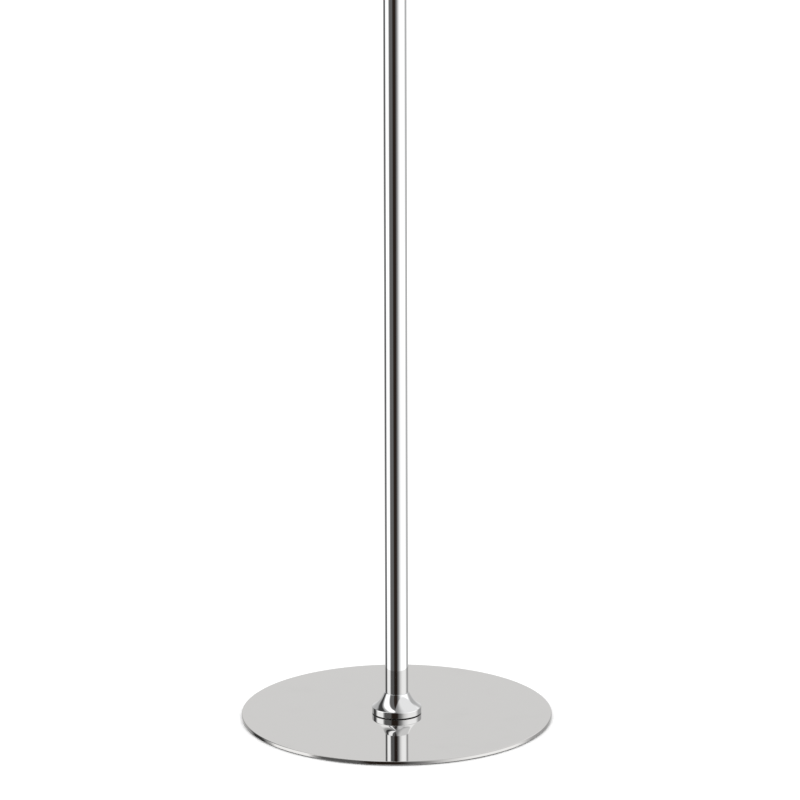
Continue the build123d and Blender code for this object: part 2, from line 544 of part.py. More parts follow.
def hook_body(eye_height):
    """Pear-shaped loop of round wire, open at one side, with a flat tongue at the hinge and a nose lip."""
    wire = HOOK_WIRE / 2
    top = TOP_CENTRE + Vector(0, HOOK_TOP_BOW)
    bottom = BOTTOM_CENTRE - Vector(0, HOOK_BOTTOM_BOW)
    path = Wire([
        Edge.make_line(in_hook(HINGE_FACE), in_hook(SIDE_TOP)),
        Edge.make_three_point_arc(in_hook(SIDE_TOP), in_hook(top), in_hook(mirrored(SIDE_TOP))),
        Edge.make_line(in_hook(mirrored(SIDE_TOP)), in_hook(mirrored(SIDE_BOTTOM))),
        Edge.make_three_point_arc(in_hook(mirrored(SIDE_BOTTOM)), in_hook(bottom), in_hook(SIDE_BOTTOM)),
        Edge.make_line(in_hook(SIDE_BOTTOM), in_hook(NOSE_FACE)),
    ])
    loop = sweep(Plane(origin=path @ 0, z_dir=path % 0) * Circle(wire), path=path)
    tongue = gate_side(HINGE_FACE - ALONG * TONGUE_ROOT) * Box(
        TONGUE_THICKNESS, 2 * TONGUE_END, GATE_PIN_DROP + TONGUE_ROOT, align=UP)
    tip = gate_side(PIN_CENTRE) * Rot(0, 90, 0) * Cylinder(TONGUE_END, TONGUE_THICKNESS)
    pin_hole = gate_side(PIN_CENTRE) * Rot(0, 90, 0) * Cylinder(
        GATE_PIN_DIAMETER / 2 + PRESS_CLEARANCE, HOOK_WIRE)
    lip = gate_side(NOSE_FACE + ACROSS * (GATE_RADIUS + GATE_LIP_GAP + GATE_LIP / 2)) * Box(
        HOOK_WIRE / 2, GATE_LIP, GATE_LIP_LENGTH)
    body = loop + tongue + tip + lip - pin_hole
    return hook_place(eye_height) * body


def hook_gate(eye_height):
    """Round gate with a fork at the hinge and a blind hole for its spring."""
    rod = Cylinder(GATE_RADIUS, GATE_LENGTH, align=UP)
    head = Sphere(GATE_RADIUS)
    fork = Pos(0, 0, -GATE_RADIUS) * Box(
        TONGUE_THICKNESS + 2 * FORK_CLEARANCE, 2 * GATE_RADIUS, FORK_DEPTH + GATE_RADIUS, align=UP)
    bore = Cylinder(
        SPRING_DIAMETER / 2 + SPRING_CLEARANCE, SPRING_START + SPRING_LENGTH + SPRING_CLEARANCE, align=UP)
    pin_hole = Rot(0, 90, 0) * Cylinder(GATE_PIN_DIAMETER / 2 + THREAD_CLEARANCE, 2 * GATE_RADIUS)
    gate = rod + head - fork - bore - pin_hole
    return hook_place(eye_height) * gate_side(PIN_CENTRE) * gate


def hook_pin(eye_height):
    """Rivet through the fork and the tongue, ground flush with the gate."""
    pin = Rot(0, 90, 0) * Cylinder(GATE_PIN_DIAMETER / 2, 2 * (GATE_RADIUS - GATE_PIN_SINK))
    return hook_place(eye_height) * gate_side(PIN_CENTRE) * pin


def hook_spring(eye_height):
    """Coil spring in the gate, which pushes on the tongue's round end."""
    coil_radius = (SPRING_DIAMETER - SPRING_WIRE) / 2
    coil = Helix(pitch=SPRING_PITCH, height=SPRING_LENGTH - SPRING_WIRE, radius=coil_radius)
    wire = Plane(origin=coil @ 0, z_dir=coil % 0) * Circle(SPRING_WIRE / 2)
    spring = Pos(0, 0, SPRING_START) * sweep(wire, path=coil, is_frenet=True)
    return hook_place(eye_height) * gate_side(PIN_CENTRE) * spring


# ---- finial ------------------------------------------------------------------------------------------------
def finial_neck():
    """Cap over the upper tube with a hollow-curved neck and a small rim under the ball."""
    skirt = UPPER_RADIUS + POLE_CLEARANCE
    band = skirt + NECK_SKIRT_WALL
    shoulder = band - NECK_BAND_LEDGE
    waist = NECK_TOP_DIAMETER / 2
    rim = NECK_RIM_DIAMETER / 2
    hole = FINIAL_STUD_DIAMETER / 2 + STUD_HOLE_CLEARANCE
    band_top = Z_NECK + NECK_BAND_HEIGHT
    waist_top = Z_NECK_TOP - NECK_RIM_HEIGHT
    curve = Spline((shoulder, band_top), (waist, waist_top), tangents=[NECK_CURVE_START, (0, 1)])
    rest = Polyline(
        (waist, waist_top), (rim, waist_top), (rim, Z_NECK_TOP), (hole, Z_NECK_TOP), (hole, Z_NECK_SEAT),
        (skirt, Z_NECK_SEAT), (skirt, Z_NECK), (band, Z_NECK), (band, band_top), (shoulder, band_top))
    body = revolve(Plane.XZ * make_face([*curve.edges(), *rest.edges()]), Axis.Z)
    body = fillet(body.edges().filter_by(lambda e: is_round(e, band) or is_round(e, rim)), NECK_EDGE)
    return body - Pos(0, 0, Z_BALL_CENTRE) * Sphere(BALL_RADIUS + PRESS_CLEARANCE)


def finial_ball():
    """Hollow ball with a threaded boss inside."""
    shell = Sphere(BALL_RADIUS) - Sphere(BALL_RADIUS - BALL_WALL)
    boss = Pos(0, 0, -BALL_RADIUS) * Cylinder(BALL_BOSS_DIAMETER / 2, BALL_BOSS_DEPTH, align=UP)
    hole = Pos(0, 0, -BALL_RADIUS) * Cylinder(
        FINIAL_STUD_DIAMETER / 2 + THREAD_CLEARANCE, BALL_BOSS_DEPTH, align=UP)
    return Pos(0, 0, Z_BALL_CENTRE) * (shell + (boss & Sphere(BALL_RADIUS)) - hole)


def finial_stud():
    """Threaded stud from the ball's boss into the upper tube's plug."""
    bottom = Z_UPPER_TOP - FINIAL_STUD_ENGAGEMENT
    top = Z_BALL + BALL_BOSS_DEPTH - BALL_STUD_GAP
    stud = Pos(0, 0, bottom) * Cylinder(FINIAL_STUD_DIAMETER / 2, top - bottom, align=UP)
    return chamfer(stud.edges().filter_by(GeomType.CIRCLE), STUD_POINT)


# ---- the whole stand ---------------------------------------------------------------------------------------
def assembly():
    """Every piece by its node's name."""
    pieces = {
        "base_cover": base_cover(),
        "ballast_plate": ballast_plate(),
        "floor_pad": floor_pad(),
        "centre_stud": centre_stud(),
        "stud_washer": stud_washer(),
        "stud_lock_washer": stud_lock_washer(),
        "stud_nut": stud_nut(),
        "collar_gasket": collar_gasket(),
        "pole_collar": pole_collar(),
        "lower_tube": lower_tube(),
        "lower_tube_insert": lower_tube_insert(),
        "lock_sleeve": lock_sleeve(),
        "collet": collet(),
        "lock_nut": lock_nut(),
        "upper_tube": upper_tube(),
        "foot_guide": foot_guide(),
        "stop_guide": stop_guide(),
        "upper_tube_insert": upper_tube_insert(),
        "stop_collar": stop_collar(),
        "stop_collar_screws": stop_collar_screws(),
        "finial_neck": finial_neck(),
        "finial_ball": finial_ball(),
        "finial_stud": finial_stud(),
        "lower_slide_washer": slide_washer(Z_LOWER_WASHER),
        "upper_slide_washer": slide_washer(Z_UPPER_WASHER),
    }
    for level, eye_height in (("lower", Z_LOWER_EYE), ("upper", Z_UPPER_EYE)):
        pieces[f"{level}_ring"] = flag_ring(eye_height)
        pieces[f"{level}_ring_bush"] = ring_bush(eye_height)
        pieces[f"{level}_hook_body"] = hook_body(eye_height)
        pieces[f"{level}_hook_gate"] = hook_gate(eye_height)
        pieces[f"{level}_hook_pin"] = hook_pin(eye_height)
        pieces[f"{level}_hook_spring"] = hook_spring(eye_height)
    return pieces


os.makedirs("parts", exist_ok=True)
for name, piece in assembly().items():
    export_step(piece, f"parts/{name}.step")
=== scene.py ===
"""Telescoping flag pole stand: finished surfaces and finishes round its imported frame, a plain studio and a
camera.

Metres, in the frame's own axes: +Z up the pole, the camera on the -Y side. Each surface is a grid of
points worked out from a formula; its place comes from the CAD node that it stands for.
"""
import json
import math

import bpy
import numpy as np
from bpy.props import FloatProperty, FloatVectorProperty, IntProperty, PointerProperty
from mathutils import Matrix, Vector


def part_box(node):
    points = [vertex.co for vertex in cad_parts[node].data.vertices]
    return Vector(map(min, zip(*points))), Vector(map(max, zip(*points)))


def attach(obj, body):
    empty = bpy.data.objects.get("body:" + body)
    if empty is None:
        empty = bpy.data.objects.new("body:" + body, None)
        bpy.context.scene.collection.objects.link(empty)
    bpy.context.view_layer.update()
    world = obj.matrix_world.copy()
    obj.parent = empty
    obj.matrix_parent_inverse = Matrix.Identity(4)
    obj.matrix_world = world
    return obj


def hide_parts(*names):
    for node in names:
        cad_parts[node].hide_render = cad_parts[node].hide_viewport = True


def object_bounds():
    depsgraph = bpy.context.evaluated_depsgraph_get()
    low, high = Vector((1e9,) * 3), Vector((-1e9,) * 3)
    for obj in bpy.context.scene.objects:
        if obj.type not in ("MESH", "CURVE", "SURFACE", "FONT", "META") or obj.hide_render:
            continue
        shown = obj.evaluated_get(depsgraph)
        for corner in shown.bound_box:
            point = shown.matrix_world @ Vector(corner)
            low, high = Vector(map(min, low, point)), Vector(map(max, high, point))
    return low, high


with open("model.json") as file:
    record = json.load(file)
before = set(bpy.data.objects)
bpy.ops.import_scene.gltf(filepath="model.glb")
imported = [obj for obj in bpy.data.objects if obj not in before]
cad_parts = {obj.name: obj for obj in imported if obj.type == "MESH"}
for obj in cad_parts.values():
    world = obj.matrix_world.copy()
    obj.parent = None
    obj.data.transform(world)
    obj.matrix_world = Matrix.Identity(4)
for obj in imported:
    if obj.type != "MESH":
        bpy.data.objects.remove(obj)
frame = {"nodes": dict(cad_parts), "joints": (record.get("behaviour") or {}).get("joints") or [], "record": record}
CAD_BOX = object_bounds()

bl_info = {
    "name": "Flag Pole Stand",
    "version": (1, 0, 0),
    "blender": (4, 5, 0),
    "location": "3D View > Sidebar > Flag Stand",
    "description": "Makes the surfaces, finishes and studio of a telescoping flag pole stand",
    "category": "Object",
}

MM = 0.001
TURN = 2 * math.pi
SMALL = 1e-7                # points nearer than this are one point
ARC_STEP = math.radians(7)  # the most that one facet of a rounded corner turns
SHARP = math.radians(32)    # a steeper bend between two facets stays a crisp edge
SUPPORT = 0.06              # a facet of this share of a round's radius keeps the flat beside it flat
ROOM = 2.2                  # a side has room for that facet if it is this many times as long as the cut
COARSE, FINE, FINEST = 96, 192, 320     # facets in a full turn
WIRE = 48                   # facets round a hook's wire, rivet and bores
CLOSE = 0.02 * MM           # gap round a part that is pressed or glued in
LOOSE = 0.05 * MM           # gap round a part that screws or turns
METRIC, TRAPEZIUM = 0.55, 0.3           # a thread's depth as a share of its pitch

BODY_OF = {node: body for body, nodes in frame["record"]["behaviour"]["bodies"].items() for node in nodes}
SLOT_OF = {part["node"]: part["material_slot"] for part in frame["record"]["subparts"]}
JOINT = {joint["name"]: joint for joint in frame["joints"]}
TIERS = ("lower", "upper")


# ---- settings ----------------------------------------------------------------------------------------------
def length(name, description, millimetres):
    """A size that is kept in metres."""
    return FloatProperty(name=name, description=description, default=millimetres * MM, min=0, unit="LENGTH")


def colour(name, description, default):
    return FloatVectorProperty(name=name, description=description, default=default, min=0, max=1,
                               subtype="COLOR")


def share(name, description, default):
    return FloatProperty(name=name, description=description, default=default, min=0, max=1, subtype="FACTOR")


def level(name, description, default):
    """A light's brightness, which may pass 1."""
    return FloatProperty(name=name, description=description, default=default, min=0)


class BaseSizes(bpy.types.PropertyGroup):
    """Disc base and the fixing at its centre."""
    sheet: length("Sheet", "Thickness of the polished cover", 0.8)
    rim_round: length("Rim round", "Radius of the cover's turned-down edge", 1.2)
    least_round: length("Least round", "Smallest round inside the cover's edge", 0.1)
    cut_edge: length("Cut edge", "Round on the cover's cut edge", 0.2)
    hole: length("Hole", "Radius of the cover's centre hole and of the washers' holes", 6.3)
    pad_hole: length("Pad hole", "Radius of the floor pad's hole", 31.0)
    pad_round: length("Pad round", "Round on the floor pad's edges", 0.35)
    head_top: length("Head top", "Height of the stud head's upper face", 2.8)
    neck_gap: length("Neck gap", "From the stud's square neck up to the cover", 0.2)
    head_edge: length("Head edge", "Chamfer on the stud's head", 0.6)
    stud_radius: length("Stud radius", "Outer radius of the stud's thread", 6.0)
    stud_pitch: length("Stud pitch", "Rise of the stud's thread in one turn", 1.75)
    stud_point: length("Stud point", "Chamfer on the stud's tip", 1.0)
    washer_edge: length("Washer edge", "Round on the washers' edges", 0.25)
    split: length("Split", "Gap in the lock washer", 1.0)
    nut_chamfer: length("Nut chamfer", "Chamfer on the nut's corners", 0.9)


class CollarSizes(bpy.types.PropertyGroup):
    """Bell collar at the pole's foot."""
    flare: length("Flare", "Radius of the hollow curve from rim to lip", 32.0)
    rim_height: length("Rim height", "Height of the upright rim", 6.5)
    rim_round: length("Rim round", "Round between rim and flare", 1.2)
    foot_round: length("Foot round", "Round at the rim's foot", 0.3)
    lip: length("Lip", "Thickness of the lip round the pole", 0.6)
    bore: length("Bore", "Radius of the bore round the pole", 12.85)
    wall: length("Wall", "Wall beside the hollow under the bell", 6.0)
    web: length("Web", "Thickness of the web under the pole", 2.6)
    gasket_round: length("Gasket round", "Round on the gasket's edges", 0.25)


class PoleSizes(bpy.types.PropertyGroup):
    """Tubes and the threaded plugs in their ends."""
    wall: length("Wall", "Wall of both tubes", 1.2)
    cut_edge: length("Cut edge", "Round on the tubes' cut ends", 0.2)
    plug_lead: length("Plug lead", "Chamfer on a plug's inner end", 1.0)
    thread_gap: length("Thread gap", "How far a threaded bore stands off its stud", 0.05)


class LockSizes(bpy.types.PropertyGroup):
    """Twist lock between the two tubes."""
    flutes: IntProperty(name="Flutes", description="Finger flutes round the lock nut", default=36, min=3)
    flute_radius: length("Flute radius", "Radius of a flute's hollow", 0.9)
    flute_offset: length("Flute offset", "From the nut's face out to a flute's centre", 0.3)
    plain_band: length("Plain band", "Band above and below the flutes", 4.0)
    edge: length("Edge", "Round on the nut's edges", 1.2)
    bore: length("Bore", "Radius of everything that the upper tube slides in", 9.605)
    thread_radius: length("Thread radius", "Outer radius of the sleeve's thread", 15.0)
    thread_pitch: length("Thread pitch", "Rise of the sleeve's thread in one turn", 2.0)
    top_wall: length("Top wall", "Wall over the collet", 3.5)
    flange: length("Flange", "Height of the sleeve's flange", 3.0)
    shoulder: length("Shoulder", "Height of the shoulder over the lower tube", 3.0)
    mouth: length("Mouth", "Radius of the sleeve's mouth", 13.0)
    mouth_gap: length("Mouth gap", "How far the nut's cone stands off the sleeve's mouth", 0.1)
    cone: length("Cone", "How much each cone narrows", 1.5)
    cone_height: length("Cone height", "Height of the nut's cone", 5.0)


class RingSizes(bpy.types.PropertyGroup):
    """Flag rings, their liners and washers, and the stop collar."""
    edge: length("Edge", "Round on the rings' outer edges", 0.8)
    wall: length("Wall", "Thickness of a ring", 4.0)
    eye_hole: length("Eye hole", "Radius of the eye's hole", 3.0)
    eye_thickness: length("Eye thickness", "Thickness of the flat eye", 3.0)
    eye_edge: length("Eye edge", "Round on the eye's hole", 0.5)
    washer_edge: length("Washer edge", "Round on the nylon washers", 0.2)
    screw_radius: length("Screw radius", "Radius of a set screw", 2.5)
    screw_edge: length("Screw edge", "Chamfer on a set screw's point", 0.5)
    screw_pitch: length("Screw pitch", "Rise of a set screw's thread in one turn", 0.8)
    screw_depth: length("Screw depth", "Depth of that thread", 0.35)
    screw_hole: length("Screw hole", "From the pole's middle to where a set screw's hole starts", 5.0)
    screw_sink: length("Screw sink", "How far a set screw's face lies below the collar's", 0.6)
    socket: length("Socket", "Across the flats of a set screw's socket, and its depth", 2.5)


class HookSizes(bpy.types.PropertyGroup):
    """Snap hooks."""
    wire: length("Wire", "Diameter of the hook's wire", 5.0)
    top_bow: length("Top bow", "Radius of the upper bow's centre line", 8.0)
    bottom_bow: length("Bottom bow", "Radius of the lower bow's centre line", 10.5)
    spacing: length("Spacing", "Between the two bows' centres", 32.0)
    hinge_drop: length("Hinge drop", "From the upper bow's end to the face at the hinge", 3.0)
    nose_rise: length("Nose rise", "From the lower bow's end to the nose", 2.0)
    end_round: length("End round", "Round on the wire's ends", 0.5)
    tongue: length("Tongue", "Thickness of the hinge's tongue", 1.6)
    tongue_root: length("Tongue root", "How far the tongue runs into the wire", 1.0)
    tongue_edge: length("Tongue edge", "Round on the tongue's edges", 0.2)
    gate_step: length("Gate step", "How much thinner the gate is, all round", 0.3)
    gate_gap: length("Gate gap", "Between the gate's end and the nose", 0.4)
    fork_gap: length("Fork gap", "Each side of the tongue", 0.3)
    fork_depth: length("Fork depth", "From the pin to the fork's floor", 3.2)
    pin: length("Pin", "Diameter of the hinge's rivet", 2.0)
    pin_sink: length("Pin sink", "Each end of the rivet below the gate's side", 0.1)
    bore: length("Bore", "Diameter of the hole for the gate's spring", 1.9)
    bore_depth: length("Bore depth", "From the pin to the end of that hole", 8.7)
    lip: length("Lip", "Thickness of the nose's stop", 0.9)
    lip_gap: length("Lip gap", "Between the stop and the shut gate", 0.15)
    lip_length: length("Lip length", "Length of the nose's stop", 4.0)


class FinialSizes(bpy.types.PropertyGroup):
    """Neck, ball and stud at the pole's top."""
    skirt: length("Skirt", "Radius of the recess over the tube", 9.675)
    skirt_depth: length("Skirt depth", "Depth of that recess", 2.6)
    band: length("Band", "Height of the neck's lower band", 5.0)
    ledge: length("Ledge", "Step from the band to the curve", 0.8)
    waist: length("Waist", "Radius at the curve's top", 6.5)
    rim: length("Rim", "Radius of the rim under the ball", 10.0)
    rim_height: length("Rim height", "Height of that rim", 2.4)
    neck_height: length("Neck height", "From the tube's seat to the neck's top", 17.0)
    edge: length("Edge", "Round on the neck's edges", 0.6)
    hole: length("Hole", "Radius of the hole for the stud", 4.3)
    stud_pitch: length("Stud pitch", "Rise of the stud's thread in one turn", 1.25)
    stud_point: length("Stud point", "Chamfer on the stud's ends", 1.0)
    ball_wall: length("Ball wall", "Wall of the hollow ball", 1.2)
    boss_radius: length("Boss radius", "Radius of the ball's threaded boss", 7.5)
    boss_depth: length("Boss depth", "Depth of that boss", 14.0)


class FinishSettings(bpy.types.PropertyGroup):
    """Colours and polish."""
    cover: colour("Cover", "Mirror-polished stainless sheet", (0.672, 0.664, 0.652))
    chrome: colour("Chrome", "Bright chrome plate", (0.90, 0.905, 0.91))
    steel: colour("Steel", "Polished steel wire", (0.66, 0.655, 0.645))
    zinc: colour("Zinc", "Zinc plate", (0.60, 0.61, 0.62))
    aluminium: colour("Aluminium", "Turned aluminium", (0.74, 0.75, 0.76))
    spring: colour("Spring", "Drawn spring wire", (0.30, 0.30, 0.32))
    plate: colour("Plate", "Powder-coated steel plate", (0.022, 0.022, 0.024))
    rubber: colour("Rubber", "Gasket rubber", (0.016, 0.015, 0.015))
    # black, so that the gasket's edge also draws a painted contact shade at the collar's foot
    foam: colour("Foam", "Foam pad", (0.030, 0.030, 0.032))
    plastic: colour("Plastic", "Moulded lock parts", (0.020, 0.020, 0.021))
    nylon: colour("Nylon", "Natural nylon", (0.78, 0.75, 0.66))
    mirror: share("Mirror roughness", "Roughness of the polished and plated surfaces", 0.03)


class StageSettings(bpy.types.PropertyGroup):
    """Camera, floor and light."""
    lens: FloatProperty(name="Lens", description="Focal length", default=350, min=1, unit="CAMERA")
    tilt: FloatProperty(name="Tilt", description="How far the camera looks down", subtype="ANGLE",
                        default=math.radians(16.023))
    roll: FloatProperty(name="Roll", description="Turn about the line of sight", subtype="ANGLE",
                        default=math.radians(0.155))
    distance: length("Distance", "From the camera to the point it looks at", 8428.3)
    aim_height: length("Aim height", "Height of the point that the camera looks at", 360.63)
    aim_side: length("Aim side", "How far that point lies to the right of the pole", 4.5)
    floor: colour("Floor", "Pale floor", (0.92, 0.92, 0.92))
    floor_drop: length("Floor drop", "How far the floor lies under the pad", 0.1)
    floor_reach: length("Floor reach", "From the stand to the floor's edge", 60000)
    backdrop: level("Backdrop", "White that the camera sees", 1.1)
    fill: level("Fill", "Even light on everything matt", 1.3)
    sides: level("Sides", "Light from the far sides", 0.45)
    wall: level("Wall", "Light from the wall behind the stand", 0.85)
    behind: level("Behind", "Light high behind the stand", 1.2)
    roof_left: level("Roof left", "Light overhead on the left", 0.30)
    roof_right: level("Roof right", "Light overhead on the right", 0.85)
    underneath: level("Underneath", "Light reflected from the floor", 0.9)


class StandSettings(bpy.types.PropertyGroup):
    """All settings of the stand."""
    base: PointerProperty(type=BaseSizes)
    collar: PointerProperty(type=CollarSizes)
    pole: PointerProperty(type=PoleSizes)
    lock: PointerProperty(type=LockSizes)
    ring: PointerProperty(type=RingSizes)
    hook: PointerProperty(type=HookSizes)
    finial: PointerProperty(type=FinialSizes)
    finish: PointerProperty(type=FinishSettings)
    stage: PointerProperty(type=StageSettings)


def settings():
    return bpy.context.scene.flag_stand


# ---- outlines ----------------------------------------------------------------------------------------------
def extent(node):
    """Outer radius, foot and top of a CAD node that is turned about the pole."""
    low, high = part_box(node)
    return high.x, low.z, high.z


def unit(vector):
    return vector / np.linalg.norm(vector)


def arc(centre, start, end):
    """Points from start to end on the circle about centre: its start spoke turned by even steps of the
    angle."""
    spoke, last = np.subtract(start, centre), np.subtract(end, centre)
    sweep = math.atan2(spoke[0] * last[1] - spoke[1] * last[0], spoke @ last)
    angle = np.linspace(0, sweep, max(3, math.ceil(abs(sweep) / ARC_STEP)) + 1)[:, None]
    return centre + np.cos(angle) * spoke + np.sin(angle) * np.array([-spoke[1], spoke[0]])


def run(start, end, steps):
    """Evenly spaced points of a straight stretch, both ends included."""
    return [tuple(point) for point in np.linspace(start, end, steps + 1)]


def outline(*corners):
    """A closed outline of (radius, height) points. A corner with a third number is cut back along both of
    its sides by that radius / tan(half the corner's angle), and a circular arc joins the two cuts."""
    points = []
    for index, corner in enumerate(corners):
        here = np.array(corner[:2], float)
        radius = corner[2] if len(corner) > 2 else 0
        if not radius:
            points.append(here[None])
            continue
        sides = [np.array(corners[other][:2]) - here for other in (index - 1, (index + 1) % len(corners))]
        before, after = (unit(side) for side in sides)
        half = math.acos(before @ after) / 2
        cut = radius / math.tan(half)
        centre = here + unit(before + after) * radius / math.sin(half)
        curve = arc(centre, here + before * cut, here + after * cut)
        lead = cut + radius * SUPPORT
        first, last = (here + way * lead if np.linalg.norm(side) > ROOM * lead else end
                       for way, side, end in ((before, sides[0], curve[0]), (after, sides[1], curve[-1])))
        points += [first[None], curve, last[None]]
    points = np.concatenate(points)
    apart = np.linalg.norm(points - np.roll(points, 1, axis=0), axis=1) > SMALL
    return points[apart]


def ring_outline(inner, outer, foot, top, edge):
    """A ring's section with its four edges rounded."""
    return outline((inner, foot, edge), (outer, foot, edge), (outer, top, edge), (inner, top, edge))


# ---- surfaces ----------------------------------------------------------------------------------------------
def turned(points, columns=FINE, *shapes):
    """A surface of revolution: x = r cos a, y = r sin a, z = h for each outline point (r, h) and each
    angle a of a full turn. Each shape first changes r by a rule of r, h and a."""
    angle = np.arange(columns) * TURN / columns
    radius = np.repeat(points[:, :1], columns, axis=1)
    height = np.repeat(points[:, 1:], columns, axis=1)
    for shape in shapes:
        radius = shape(radius, height, angle)
    return np.stack([radius * np.cos(angle), radius * np.sin(angle), height], axis=-1)


def flats(count, inscribed, facing):
    """Shape rule: inside the polygon's corners no radius passes the flats, r <= inscribed / cos(angle from
    a flat's middle), one flat facing that angle."""
    step = TURN / count
    corner = inscribed / math.cos(step / 2)

    def rule(radius, height, angle):
        limit = inscribed / np.cos((angle - facing + step / 2) % step - step / 2)
        return np.where(radius <= corner + SMALL, np.minimum(radius, limit), radius)
    return rule


def thread(radius_of_thread, pitch, depth, foot, top):
    """Shape rule: at the thread's radius, r falls by depth times a triangle wave of height / pitch minus
    the share of a turn, faded out over one pitch at both ends. A negative depth cuts a bore."""
    def rule(radius, height, angle):
        wave = np.abs((height / pitch - angle / TURN) % 1 * 2 - 1)
        fade = np.clip(np.minimum(height - foot, top - height) / pitch, 0, 1)
        return np.where(np.abs(radius - radius_of_thread) < SMALL, radius - depth * wave * fade, radius)
    return rule


def threaded_run(radius, foot, top, pitch):
    """Outline points of a threaded stretch, eight to a pitch."""
    return run((radius, foot), (radius, top), math.ceil(abs(top - foot) / pitch * 8))


def capped(grid):
    """Closes both ends of a swept grid with a fan to the middle of its first and last section."""
    first, last = (np.repeat(row.mean(axis=0)[None], grid.shape[1], axis=0)[None]
                   for row in (grid[0], grid[-1]))
    return np.concatenate([first, grid, last])


def rounded_ends(span, edge):
    """Stations of a rod of that length with rounded ends: (distance along, how far the section is drawn
    in). The round is a quarter circle: along = edge (1 - cos a), drawn in = edge (1 - sin a)."""
    angle = np.linspace(0, math.pi / 2, 7)
    along, inset = edge * (1 - np.cos(angle)), edge * (1 - np.sin(angle))
    return np.concatenate([along, span - along[::-1]]), np.concatenate([inset, inset[::-1]])


def placed(grid, origin, x_way, y_way, z_way):
    """A grid drawn at the origin, moved so that its own axes lie along three given ways."""
    return grid @ np.array([x_way, y_way, z_way]) + np.array(origin)


def rod(radius, span, edge, columns=COARSE, head=False):
    """A round rod along its own +Z with rounded ends: circles of radius minus the end's inset. With a
    head, the lower end is instead a half sphere about the origin."""
    along, inset = rounded_ends(span, edge)
    section = radius - inset
    if head:
        angle = np.linspace(0, math.pi / 2, 14)[1:]
        along = np.concatenate([-radius * np.cos(angle), along[along > span / 2]])
        section = np.concatenate([radius * np.sin(angle), section[-7:]])
    turn = np.arange(columns) * TURN / columns
    grid = np.stack(np.broadcast_arrays(section[:, None] * np.cos(turn), section[:, None] * np.sin(turn),
                                        along[:, None]), axis=-1)
    return capped(grid)


def bar(width, depth, span, edge):
    """A rounded bar along its own Z, centred: each section is the rectangle of its corner circles' centres
    plus a quarter circle at each corner, drawn in at both ends."""
    along, inset = rounded_ends(span, edge)
    turn = np.arange(32) * TURN / 32 + TURN / 64
    normal = np.stack([np.cos(turn), np.sin(turn)], axis=-1)
    centre = np.sign(normal) * (np.array([width, depth]) / 2 - edge)
    section = centre + (edge - inset)[:, None, None] * normal
    height = np.broadcast_to((along - span / 2)[:, None, None], (*section.shape[:2], 1))
    return capped(np.concatenate([section, height], axis=-1))


def lug(hole, tip, reach, thickness, hole_edge, outer_edge):
    """A flat plate round a hole, hole at the origin, thickness along Z. Its outline's distance at angle b
    is tip on the +X half, and beyond that the nearer of tip / |sin b| and reach / |cos b|. Quarter circles
    round its edges."""
    corner = math.atan2(tip, -reach)
    angle = np.unique(np.concatenate([np.arange(COARSE) * TURN / COARSE, [corner, TURN - corner]]))
    with np.errstate(divide="ignore"):
        square = np.minimum(tip / np.abs(np.sin(angle)), reach / np.abs(np.cos(angle)))
    far = np.where(np.cos(angle) >= -SMALL, tip, square)
    turn = np.linspace(-math.pi / 2, math.pi / 2, 14)[:, None]
    level = np.sign(turn) * thickness / 2

    def side(edge):
        return edge * (1 - np.cos(turn)), level - np.sign(turn) * edge + edge * np.sin(turn)
    outer_inset, outer_height = side(outer_edge)
    inner_inset, inner_height = side(hole_edge)
    distance = np.concatenate([far - outer_inset, hole + inner_inset[::-1] + 0 * far])
    height = np.concatenate([outer_height + 0 * far, inner_height[::-1] + 0 * far])
    return np.stack([distance * np.cos(angle), distance * np.sin(angle), height], axis=-1)


def drawn_wire(path, radius, edge, columns=WIRE):
    """Round wire along a path of (y, z) points at x = 0: each point plus radius times (sin a along X + cos
    a along the path's direction turned a quarter turn). The ends are rounded by a quarter circle."""
    stations, inset = rounded_ends(1, edge)
    stations, inset = stations[:7], inset[:7]
    start, end = unit(path[1] - path[0]), unit(path[-1] - path[-2])
    line = np.concatenate([path[0] + stations[:, None] * start, path[1:-1],
                           path[-1] - stations[::-1, None] * end])
    section = np.concatenate([radius - inset, np.full(len(path) - 2, radius), radius - inset[::-1]])[:, None]
    way = np.gradient(line, axis=0)
    way /= np.linalg.norm(way, axis=1, keepdims=True)
    turn = np.arange(columns) * TURN / columns
    across = section * np.cos(turn)
    grid = np.stack([section * np.sin(turn), line[:, :1] - way[:, 1:] * across,
                     line[:, 1:] + way[:, :1] * across],
                    axis=-1)
    return capped(grid)


# ---- meshes ------------------------------------------------------------------------------------------------
def shell_faces(grid):
    """Points and faces of a closed grid. Each point is joined to the next in its row and in its column,
    both of which run round. Points in one place become one, and a four-sided face with a merged side
    becomes three-sided."""
    rows, columns = grid.shape[:2]
    index = np.arange(rows * columns).reshape(rows, columns)
    right, below = np.roll(index, -1, axis=1), np.roll(index, -1, axis=0)
    faces = np.stack([index, right, np.roll(below, -1, axis=1), below], axis=-1).reshape(-1, 4)
    points = grid.reshape(-1, 3)
    keys = np.round(points / SMALL).astype(np.int64)
    _, kept, merged = np.unique(keys, axis=0, return_index=True, return_inverse=True)
    points, faces = points[kept], merged.reshape(-1)[faces]
    near, far = faces[:, 0] == faces[:, 1], faces[:, 2] == faces[:, 3]
    quads = faces[~near & ~far]
    triangles = np.concatenate([faces[near & ~far][:, 1:], faces[far & ~near][:, :3]])
    halves = np.concatenate([triangles, quads[:, :3], quads[:, [0, 2, 3]]])
    a, b, c = (points[halves[:, k]] for k in range(3))
    if np.einsum("ij,ij->", a, np.cross(b, c)) < 0:
        quads, triangles = quads[:, ::-1], triangles[:, ::-1]
    return points, [*quads.tolist(), *triangles.tolist()]


